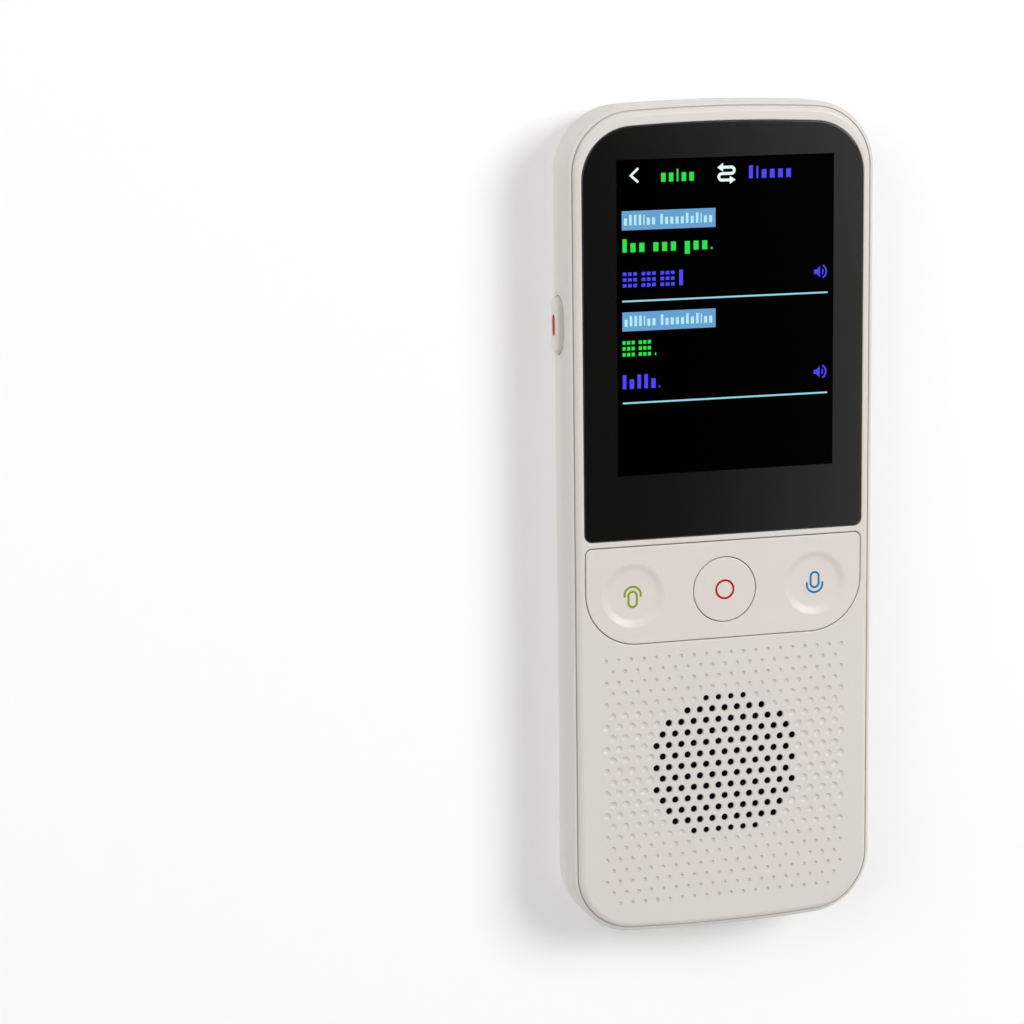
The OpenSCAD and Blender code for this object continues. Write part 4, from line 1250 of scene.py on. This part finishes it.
@dataclass
class FrontCover:
    """The front face, with the glass's seat, the talk plate's opening and the grille."""

    edge_r: float = 1.0
    cover_t: float = 1.3
    pocket_in: float = 2.05
    seat_z: float = 11.45
    plate_seat_z: float = 9.0
    glass_gap: float = 0.08
    plate_gap: float = 0.12
    plate_top_gap: float = 0.13
    opening_r: float = 0.24
    opening_flare: float = 1.04
    opening_proud: float = 0.02
    display: Outline = Outline(20.4, 59.46, 2.1, 0.5, 0.5)
    display_low: float = 9.0
    display_high: float = 12.0
    speaker_r: float = 14.0
    collar_w: float = 0.9
    collar_h: float = 2.4
    collar_root: float = 0.3
    collar_shy: float = 0.02
    board_top_z: float = 8.2
    boss_r: float = 1.75
    # How far under the face the painted shade in the loudspeaker holes stops.
    painted_shade_below: float = 0.5
    grille: Grille = field(default_factory=Grille)

    def _opening(self, outline: Outline, low: float) -> Form:
        """Makes an opening with a softly rounded front edge.

        Args:
            outline: The opening's outline.
            low: Its lowest height.

        Returns:
            The tool that cuts it.
        """
        radius, face, wide = self.opening_r, PLAN.face_z, self.opening_r * self.opening_flare
        profile = [(0.0, low), *rounded(face, radius, 5)[:-1], (wide, face + self.opening_proud),
                   (wide, face + PAST)]
        return Form().sweep(profile, lambda grown: outline.grown(grown).ring(14, 12, 12))

    def _collar(self, under: float) -> Object:
        """Makes the ring round the loudspeaker.

        Args:
            under: The height of the cover's underside.

        Returns:
            The ring, which reaches a little into the cover.
        """
        inner, middle = self.speaker_r + OVERLAP, (0.0, PLAN.speaker_y)
        outer, low, high = inner + self.collar_w, under - self.collar_h, under + self.collar_root
        collar = Form().lathe([(outer, low), (outer, high)], centre=middle).object("speaker_ring")
        bore = [(inner, low - PAST), (inner, under)]
        root = [(inner - self.collar_shy, under - PAST / 2),
                (inner - self.collar_shy, under + PAST)]
        for profile in (bore, root):
            combine(collar, Form().lathe(profile, centre=middle), Cut.REMOVE)
        return collar

    def build(self) -> list[Object]:
        """Builds the cover.

        Returns:
            The cover, on the housing.
        """
        face, top = PLAN.face_z, PLAN.plate_top_y
        under = face - self.cover_t
        profile = [(PLAN.rim_w, PLAN.edge_under_z), *rounded(face, self.edge_r, 10, PLAN.rim_w)]
        cover = Form().sweep(profile, PLAN.outline).object("front_cover_face")
        pocket = [point for point in PLAN.outline(self.pocket_in) if point[1] < top]
        pocket += [(pocket[-1][0], top), (pocket[0][0], top)]
        plate = replace(PLATE_OUTLINE.grown(self.plate_gap),
                        top=PLATE_OUTLINE.top + self.plate_top_gap)
        for tool in (Form().prism(pocket, PLAN.edge_under_z - PAST, under),
                     self._opening(GLASS_OUTLINE.grown(self.glass_gap), self.seat_z),
                     Form().prism(self.display.ring(6, 2, 2), self.display_low,
                                  self.display_high),
                     self._opening(plate, self.plate_seat_z), self.grille.tool()):
            combine(cover, tool, Cut.REMOVE)
        combine(cover, self._collar(under), Cut.ADD)
        bosses = Form()
        for x, y in PLAN.screw_places():
            high = (PLAN.edge_under_z if y > 0 else under) + 2 * OVERLAP
            bosses.prism(circle(self.boss_r, ROUND, (x, y)), self.board_top_z, high)
        combine(cover, bosses, Cut.ADD)
        # Painted shade: the walls of the holes over the loudspeaker, from the underside to half a
        # millimetre under the face, take the near-black finish in place of the white plastic.
        for polygon in cover.data.polygons:
            x, y, z = polygon.center
            inside = math.hypot(x, y - PLAN.speaker_y) < self.speaker_r - 1
            polygon.material_index = int(inside and under < z < face - self.painted_shade_below)
        return [settle(cover, Body.HOUSING, MaterialSlot.COVER, (COVER_WHITE, PAINTED_SHADE_BLACK),
                       ("front_cover",))]


@dataclass
class ScreenPicture:
    """What the screen shows: arrows, labels, plain bars for the words, and dividing lines.

    A word is a row of bars: x is a low bar, h a high one, p a hanging one, i a narrow one,
    . a dot and # a block of small squares.
    """

    line_t: float = 0.26
    left: float = -16.75
    right: float = 17.15
    label_right: float = -1.5
    label_h: float = 2.95
    bar_gap: float = 0.42
    hanging: float = 0.28
    cell_h: float = 0.22
    cell_pitch: float = 0.37

    SPANS = {"x": 1.0, "h": 0.9, "p": 1.0, "i": 0.65, ".": 0.6, " ": 0.6, "#": 2.35}
    TALL = {"x": 0.68, "h": 1.0, "i": 0.95, ".": 0.16, "p": 0.68}

    def _word(self, pattern: str, x0: float, x1: float, base: float, height: float) -> list[Ring]:
        """Makes the bars of one line of words.

        Args:
            pattern: The kinds of bars, in order.
            x0: Where the line starts.
            x1: Where it ends.
            base: The foot of the bars.
            height: The height of a high bar.

        Returns:
            The bars' outlines.
        """
        unit, bars, x = (x1 - x0) / sum(self.SPANS[kind] for kind in pattern), [], x0
        for kind in pattern:
            left, x = x, x + self.SPANS[kind] * unit
            right = x - self.bar_gap * unit
            if kind in self.TALL:
                low = base - (self.hanging * height if kind == "p" else 0.0)
                bars.append(rectangle(left, right, low, base + self.TALL[kind] * height))
            elif kind == "#":
                cell = (right - left) / 5
                for y in (base + row * height * self.cell_pitch for row in range(3)):
                    bars += [rectangle(left + column * cell, left + (column + 1.2) * cell, y,
                                       y + self.cell_h * height) for column in (0, 1.7, 3.4)]
        return bars

    def _speaker(self, x: float, y: float) -> list[Ring]:
        """Returns the outlines of a small loudspeaker sign with its left edge at x."""
        horn = [(0.0, -0.34), (0.45, -0.34), (1.0, -0.9), (1.0, 0.9), (0.45, 0.34), (0.0, 0.34)]
        return [shifted(horn, (x, y)), arc((x + 0.95, y), 0.66, -52, 52, 12),
                stroke(arc((x + 0.95, y), 1.1, -62, 62, 16), self.line_t)]

    def _swap_arrows(self) -> list[Ring]:
        """Makes one winding arrow with a head at each end.

        Returns:
            The outlines of the line and of its two heads.
        """
        top, middle, foot = 55.85, 54.88, 53.88
        upper, lower = (top - middle) / 2, (middle - foot) / 2
        path = [(-0.35, top), (0.4, top), *arc((1.1, middle + upper), upper, 90, -90, 14),
                (0.3, middle), *arc((-0.45, foot + lower), lower, 90, 270, 14), (0.2, foot),
                (0.95, foot)]
        return [stroke(path, 0.44), [(-1.2, top), (-0.25, top - 0.68), (-0.25, top + 0.68)],
                [(1.8, foot), (0.85, foot + 0.62), (0.85, foot - 0.62)]]

    def inlays(self) -> list[tuple[Ring, Pixels]]:
        """Lists what the picture shows.

        Returns:
            Each shape's outline and finish number.
        """
        left, half = self.left, self.line_t / 2
        back = stroke([(-14.05, 56.15), (-15.25, 55.05), (-14.05, 54.0)], 0.36)
        shown = [(Pixels.WHITE, [back]), (Pixels.WHITE, self._swap_arrows()),
                 (Pixels.GREEN, self._word("xxixx", -10.35, -4.5, 53.95, 2.0)),
                 (Pixels.BLUE, self._word("hixxxx", 4.0, 11.5, 54.0, 2.0))]
        for low in (46.7, 31.1):
            label = rectangle(left, self.label_right, low, low + self.label_h)
            text = self._word("xhhhixx hxxxxhxhixx", left + 0.35, -1.7, low + 0.75, 1.6)
            shown += [(Pixels.LABEL, [label]), (Pixels.LABEL_TEXT, text)]
        shown += [(Pixels.GREEN, self._word("hxx xxx pxx.", left + 0.1, -1.4, 43.3, 2.05)),
                  (Pixels.BLUE, self._word("###h", left + 0.1, -6.3, 37.9, 2.4)),
                  (Pixels.GREEN, self._word("##.", left, -10.8, 27.2, 2.5)),
                  (Pixels.BLUE, self._word("hxhhx.", left, -10.1, 22.1, 2.2))]
        shown += [(Pixels.BLUE, self._speaker(14.85, y)) for y in (39.05, 23.25)]
        shown += [(Pixels.LINE, [rectangle(left, self.right, y - half, y + half)])
                  for y in (35.75, 19.9)]
        return [(ring, finish) for finish, rings in shown for ring in rings]


@dataclass
class CoverGlass:
    """The black-bordered glass, with the lit picture seen in its front face."""

    under_z: float = 11.6
    edge_r: float = 0.12
    window: tuple[float, ...] = (-17.6, 18.1, 8.45, 57.5)
    picture: ScreenPicture = field(default_factory=ScreenPicture)

    def _ring(self, inset: float) -> Ring:
        """Returns the glass's outline, moved inwards by inset."""
        return GLASS_OUTLINE.grown(-inset).ring(16, 16, 12)

    def build(self) -> list[Object]:
        """Builds the glass.

        Returns:
            The glass, on the housing.
        """
        face = PLAN.face_z
        shapes = [(rectangle(*self.window), Pixels.BLACK), *self.picture.inlays()]
        profile = [(0.0, self.under_z), *rounded(face, self.edge_r, 5)]
        form = Form().sweep(profile, self._ring, (True, False))
        glass = form.tiled(self._ring(self.edge_r), shapes, face).object("screen_glass")
        finishes = [FACE_FINISHES[kind] for kind in Pixels]
        return [settle(glass, Body.HOUSING, MaterialSlot.SCREEN, finishes, ("cover_glass",))]


@dataclass
class TalkPlate:
    """The rocking plate with a dish at each end and a round opening in its middle.

    A lip's stem and hook are three steps from the plate's edge: the stem's two faces and the
    hook's end.
    """

    under_z: float = 10.9
    edge_r: float = 0.2
    dish_x: float = 15.2
    dish_r: float = 5.3
    floor_r: float = 3.75
    flat_r: float = 2.0
    dish_depth: float = 0.43
    dish_proud: float = 0.005
    hole_r: float = 5.28
    hole_edge: Profile = ((0.0, -0.12), (0.035, -0.035), (0.125, 0.004), (0.125, 1.0))
    post_r: float = 1.2
    post_end_z: float = 8.8
    fulcrum_r: float = 0.4
    fulcrum_l: float = 1.3
    fulcrum_z: float = 8.62
    fulcrum_in: float = 0.2
    lip_x: Point = (7.5, 10.5)
    lip_gap: float = 0.42
    lip_t: float = 0.5
    upper_lip: Place = (-1.0, 0.0, 1.1)
    lower_lip: Place = (1.2, 0.2, -1.0)
    low_ledge_z: float = 11.1
    left_sign: Point = (0.0, -0.65)
    right_sign: Point = (0.15, 0.42)
    capsule: Point = (1.72, 2.8)
    cup_r: float = 1.33
    cup_y: float = -0.7
    cup_turn: Point = (165.0, 375.0)
    sign_line: float = 0.34
    sign_t: float = 0.016
    sign_sunk: float = 0.004

    def _hook(self, inner: float, face: float, outer: float, ledge: float) -> Ring:
        """Makes the section of a lip that hooks under a ledge of the cover.

        Args:
            inner: The stem's Y on the plate's side.
            face: The stem's Y towards the ledge.
            outer: The Y of the hook's end.
            ledge: The ledge's height.

        Returns:
            The anticlockwise outline, in Y and Z.
        """
        low, top = ledge - self.lip_gap - self.lip_t, self.under_z + OVERLAP
        high = low + self.lip_t
        ring = [(inner, low), (outer, low), (outer, high), (face, high), (face, top), (inner, top)]
        return ring if outer > inner else ring[::-1]

    def _feet(self) -> list[Form]:
        """Makes the posts, the fulcrums and the lips under the plate.

        Returns:
            A form for each of the three kinds.
        """
        posts, feet, lips = Form(), Form(), Form()
        under, half = self.under_z + OVERLAP, self.fulcrum_l / 2
        section = arc((0, self.fulcrum_z), self.fulcrum_r, 180, 360, 16)
        section += [(self.fulcrum_r, under), (-self.fulcrum_r, under)]
        top, low = PLAN.plate_top_y, PLAN.plate_bottom_y
        hooks = [self._hook(*(top + step for step in self.upper_lip), PLAN.edge_under_z),
                 self._hook(*(low + step for step in self.lower_lip), self.low_ledge_z)]
        for side in (-1, 1):
            posts.prism(circle(self.post_r, ROUND, (side * self.dish_x, PLAN.plate_y)),
                        self.post_end_z, under)
            y = PLAN.plate_y + side * ((top - low) / 2 - half - self.fulcrum_in)
            foot = Form(axes((1, 0, 0), (0, 0, -1), (0, 1, 0)))
            feet.take([foot.prism(section, -y - half, -y + half)])
            x0, x1 = sorted(side * x for x in self.lip_x)
            for hook in hooks:
                lip = Form(axes((0, 0, 1), (1, 0, 0), (0, 1, 0)))
                lips.take([lip.prism(hook, x0, x1)])
        return [posts, feet, lips]

    def _dishes(self) -> Form:
        """Makes the two dishes, each with a flat floor and a soft S-shaped rim.

        Returns:
            The tool that cuts them.
        """
        deep, wide, form = self.dish_depth, self.dish_r - self.floor_r, Form()
        rise = [(self.floor_r + wide * s, -deep * (1 + math.cos(math.pi * s)) / 2)
                for s in steps(12)[:-1]]
        profile = [(0.0, -deep), (self.flat_r, -deep), *rise, (self.dish_r, self.dish_proud),
                   (self.dish_r, PAST)]
        for side in (-1, 1):
            form.lathe([(r, PLAN.face_z + z) for r, z in profile],
                       centre=(side * self.dish_x, PLAN.plate_y))
        return form

    def _microphone(self, name: str, centre: Point, up: int, finish: Finish) -> Object:
        """Prints a microphone sign on a dish's floor.

        Args:
            name: The print's name.
            centre: The sign's middle.
            up: 1 where the sign stands upright and -1 where it is turned upside down.
            finish: The ink.

        Returns:
            The sign, on the talk plate's body.
        """
        low = PLAN.face_z - self.dish_depth - self.sign_sunk
        high = low + self.sign_t
        outer, inner, cup = (shifted(ring, centre, up) for ring in (
            slot(*self.capsule, count=12), slot(*self.capsule, -self.sign_line, 12),
            stroke(arc((0.0, self.cup_y), self.cup_r, *self.cup_turn, 28), self.sign_line)))
        form = Form().loft([outer, outer, inner, inner, outer], [low, high, high, low, low], OPEN)
        sign = form.prism(cup, low, high).object(name)
        return settle(sign, Body.TALK_PLATE, MaterialSlot.KEYS, (finish,))

    def build(self) -> list[Object]:
        """Builds the plate and its signs.

        Returns:
            The plate and the two signs, on the talk plate's body.
        """
        profile = [(0.0, self.under_z), *rounded(PLAN.face_z, self.edge_r, 6)]
        plate = Form().sweep(profile, lambda inset: PLATE_OUTLINE.grown(-inset).ring(18, 2, 12))
        plate = plate.object("talk_plate_face")
        for feet in self._feet():
            combine(plate, feet, Cut.ADD)
        hole = [(self.hole_r, self.under_z - PAST)]
        hole += [(self.hole_r + grown, PLAN.face_z + out) for grown, out in self.hole_edge]
        combine(plate, Form().lathe(hole, 128, (0, PLAN.plate_y)), Cut.REMOVE)
        combine(plate, self._dishes(), Cut.REMOVE)
        pieces = [settle(plate, Body.TALK_PLATE, MaterialSlot.KEYS, (KEY_WHITE,),
                         ("talk_plate",))]
        for name, side, (x, y), finish in (("left_dish_print", -1, self.left_sign, INK_GREEN),
                                           ("right_dish_print", 1, self.right_sign, INK_BLUE)):
            middle = (side * self.dish_x + x, PLAN.plate_y + y)
            pieces.append(self._microphone(name, middle, side, finish))
        return pieces


@dataclass
class CentreKey:
    """The round key in the middle of the talk plate, with a printed ring."""

    radius: float = 5.15
    edge_r: float = 0.2
    flange_r: float = 5.7
    flange_z: float = 10.55
    flange_t: float = 0.5
    post_r: float = 1.2
    post_end_z: float = 8.8
    ring_r: float = 1.62
    line: float = 0.36

    def build(self) -> list[Object]:
        """Builds the key.

        Returns:
            The key, on its body.
        """
        face, low, inner = PLAN.face_z, self.flange_z - self.flange_t, self.ring_r - self.line
        profile = [(0.0, self.post_end_z), (self.post_r, self.post_end_z), (self.post_r, low),
                   (self.flange_r, low), (self.flange_r, self.flange_z),
                   (self.radius, self.flange_z), *rounded(face, self.edge_r, 6, self.radius, -1),
                   (self.ring_r, face)]
        form = Form()
        for points, finish in ((profile, 0), ([(self.ring_r, face), (inner, face)], 1),
                               ([(inner, face), (0.0, face)], 0)):
            form.lathe(points, 128, (0.0, PLAN.plate_y), OPEN, finish)
        return [settle(form.object("centre_key_cap"), Body.CENTRE_KEY, MaterialSlot.KEYS,
                       (KEY_WHITE, INK_RED), ("centre_key",))]


@dataclass
class PortContacts:
    """The rows of gold contacts on both faces of the port's tongue."""

    count: int = 12
    pitch: float = 0.5
    half_w: float = 0.13
    start: float = 0.35
    length: float = 3.2
    mouth_y: float = -63.15
    half_t: float = 0.35
    rise: float = 0.03
    sunk: float = 0.02

    def build(self) -> list[Object]:
        """Builds the contacts.

        Returns:
            The contacts, on the housing.
        """
        bars = Form()
        for side in (-1, 1):
            z0, z1 = sorted((side * (self.half_t - self.sunk), side * (self.half_t + self.rise)))
            bars.box(-self.half_w, self.half_w, self.start, self.start + self.length, z0, z1)
        middle = (self.count - 1) / 2
        places = [((k - middle) * self.pitch, self.mouth_y, PLAN.port_z, 1.0)
                  for k in range(self.count)]
        contacts = StampTree.stamped("port_contacts", bars, places, 1.0, CONTACT_GOLD.material())
        return [settle(contacts, Body.HOUSING, MaterialSlot.PORT, (CONTACT_GOLD,))]


def dress_inner_parts() -> None:
    """Gives the CAD nodes inside the housing, which keep their shapes, their materials."""
    for finish, names in INNER_FINISHES:
        for name in names:
            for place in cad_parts[name].material_slots:
                place.material = finish.material()
        LOG.info("%s: %s", finish.name, ", ".join(names))


@dataclass
class Studio:
    """The pale floor, the soft lights and the camera, in metres."""

    floor_r: float = 1.6
    wall_h: float = 0.9
    bend_r: float = 0.5
    below: float = 0.00002
    floor_colour: Colour = (0.86, 0.86, 0.86)
    floor_glow: float = 0.1
    sky: float = 0.56
    card: float = 0.05
    card_way: Place = (0.08, -0.16, 0.98)
    card_edge: Point = (0.943, 0.973)
    ground: float = 0.9
    touch: float = 0.008
    lens: float = 111.3
    sensor: float = 36.0
    eye: Place = (-0.16766, 0.09149, 0.47414)
    eye_turn: Place = (-10.118, -16.177, -0.748)
    lamps: tuple[tuple[str, Place, float, float], ...] = (
        ("key_lamp", (0.6, 0.38, 0.82), 0.48, 6.5), ("fill_lamp", (-0.8, 0.35, 0.6), 0.8, 3.0))

    def _floor_material(self) -> bpy.types.Material:
        """Builds the floor: pale and matt, lifted towards white, and clear from below.

        Rays that have only just left the device pass it too, so that its back is lit.

        Returns:
            The material.
        """
        material = bpy.data.materials.new("studio_floor")
        material.use_nodes = True
        nodes, wiring = material.node_tree.nodes, Wiring(material.node_tree)
        nodes.remove(nodes["Principled BSDF"])
        path = wiring.node("ShaderNodeLightPath").outputs
        seen = path["Is Camera Ray"]
        for name in ("Is Glossy Ray", "Is Transmission Ray"):
            seen = wiring.math("MAXIMUM", seen, path[name])
        matt = wiring.node("ShaderNodeBsdfDiffuse", {"Color": (*self.floor_colour, 1)})
        glow = wiring.node("ShaderNodeEmission",
                           {"Strength": wiring.math("MULTIPLY", seen, self.floor_glow)})
        both = wiring.node("ShaderNodeAddShader", {0: matt.outputs[0], 1: glow.outputs[0]})
        clear = wiring.math("MAXIMUM", wiring.math("LESS_THAN", path["Ray Length"], self.touch),
                            wiring.node("ShaderNodeNewGeometry").outputs["Backfacing"])
        through = wiring.node("ShaderNodeBsdfTransparent").outputs[0]
        mixed = wiring.node("ShaderNodeMixShader", {0: clear, 1: both.outputs[0], 2: through})
        wiring.feed(nodes["Material Output"], {"Surface": mixed.outputs[0]})
        return material

    def _floor(self) -> None:
        """Builds the round floor, which bends up into a low wall."""
        start = self.floor_r - self.bend_r
        bend = [(start + up, inset) for inset, up in quarter(self.bend_r, 12)[1:]]
        floor = Form().sweep([(0.0, -self.below), (start, -self.below), *bend,
                              (self.floor_r, self.wall_h)],
                             lambda radius: circle(radius, 96)[::-1], OPEN).object("studio_floor")
        floor.data.materials.append(self._floor_material())
        floor.data.polygons.foreach_set("use_smooth", [True] * len(floor.data.polygons))

    def _sky(self) -> None:
        """Sets the world: even pale light with a soft dark card above the screen."""
        world = bpy.data.worlds.new("studio_sky")
        bpy.context.scene.world = world
        world.use_nodes = True
        wiring = Wiring(world.node_tree)
        way = wiring.node("ShaderNodeTexCoord").outputs["Generated"]
        facing = wiring.node("ShaderNodeVectorMath", {
            0: way, 1: Vector(self.card_way).normalized()}, operation="DOT_PRODUCT")
        card = wiring.node("ShaderNodeMapRange", {
            "Value": facing.outputs["Value"], "From Min": self.card_edge[0],
            "From Max": self.card_edge[1], "To Min": self.sky, "To Max": self.card,
        }, interpolation_type="SMOOTHSTEP")
        height = wiring.node("ShaderNodeSeparateXYZ", {0: way}).outputs["Z"]
        light = wiring.math("MULTIPLY_ADD", wiring.math("LESS_THAN", height, 0.0),
                            self.ground - self.sky, card.outputs["Result"])
        camera = wiring.node("ShaderNodeLightPath").outputs["Is Camera Ray"]
        wiring.feed(world.node_tree.nodes["Background"], {
            "Color": (1, 1, 1, 1), "Strength": wiring.math("MAXIMUM", light, camera)})

    def _lamp(self, name: str, place: Sequence[float], size: float, power: float) -> None:
        """Adds a soft square lamp that faces the device.

        Args:
            name: The lamp's name.
            place: Where it is, in metres.
            size: Its width, in metres.
            power: Its power, in watts.
        """
        data = bpy.data.lights.new(name, "AREA")
        data.size, data.energy = size, power
        lamp = placed(name, data)
        lamp.location, lamp.rotation_mode = place, "QUATERNION"
        lamp.rotation_quaternion = Vector(place).to_track_quat("Z", "Y")

    def _camera(self) -> None:
        """Sets the camera where the photograph was taken from."""
        data = bpy.data.cameras.new("camera")
        data.lens, data.sensor_width = self.lens, self.sensor
        camera = placed("camera", data)
        turn = Euler([math.radians(angle) for angle in self.eye_turn])
        camera.matrix_world = Matrix.LocRotScale(Vector(self.eye), turn, None)
        bpy.context.scene.camera = camera

    def build(self) -> None:
        """Builds the studio."""
        self._floor()
        self._sky()
        for lamp in self.lamps:
            self._lamp(*lamp)
        self._camera()
        bpy.context.scene.view_settings.view_transform = "Standard"
        LOG.info("studio: floor, sky, two lamps and the camera")


def main() -> None:
    """Builds the device from its housing to its keys, and the studio round it."""
    logging.basicConfig(level=logging.INFO, format="%(name)s: %(message)s")
    for part in (RearShell(), FrontCover(), CoverGlass(), TalkPlate(), CentreKey(), *SIDE_KEYS,
                 PortContacts()):
        for piece in part.build():
            LOG.info("%s: %d faces", piece.name, len(piece.data.polygons))
    dress_inner_parts()
    Studio().build()


if __name__ == "__main__":
    main()
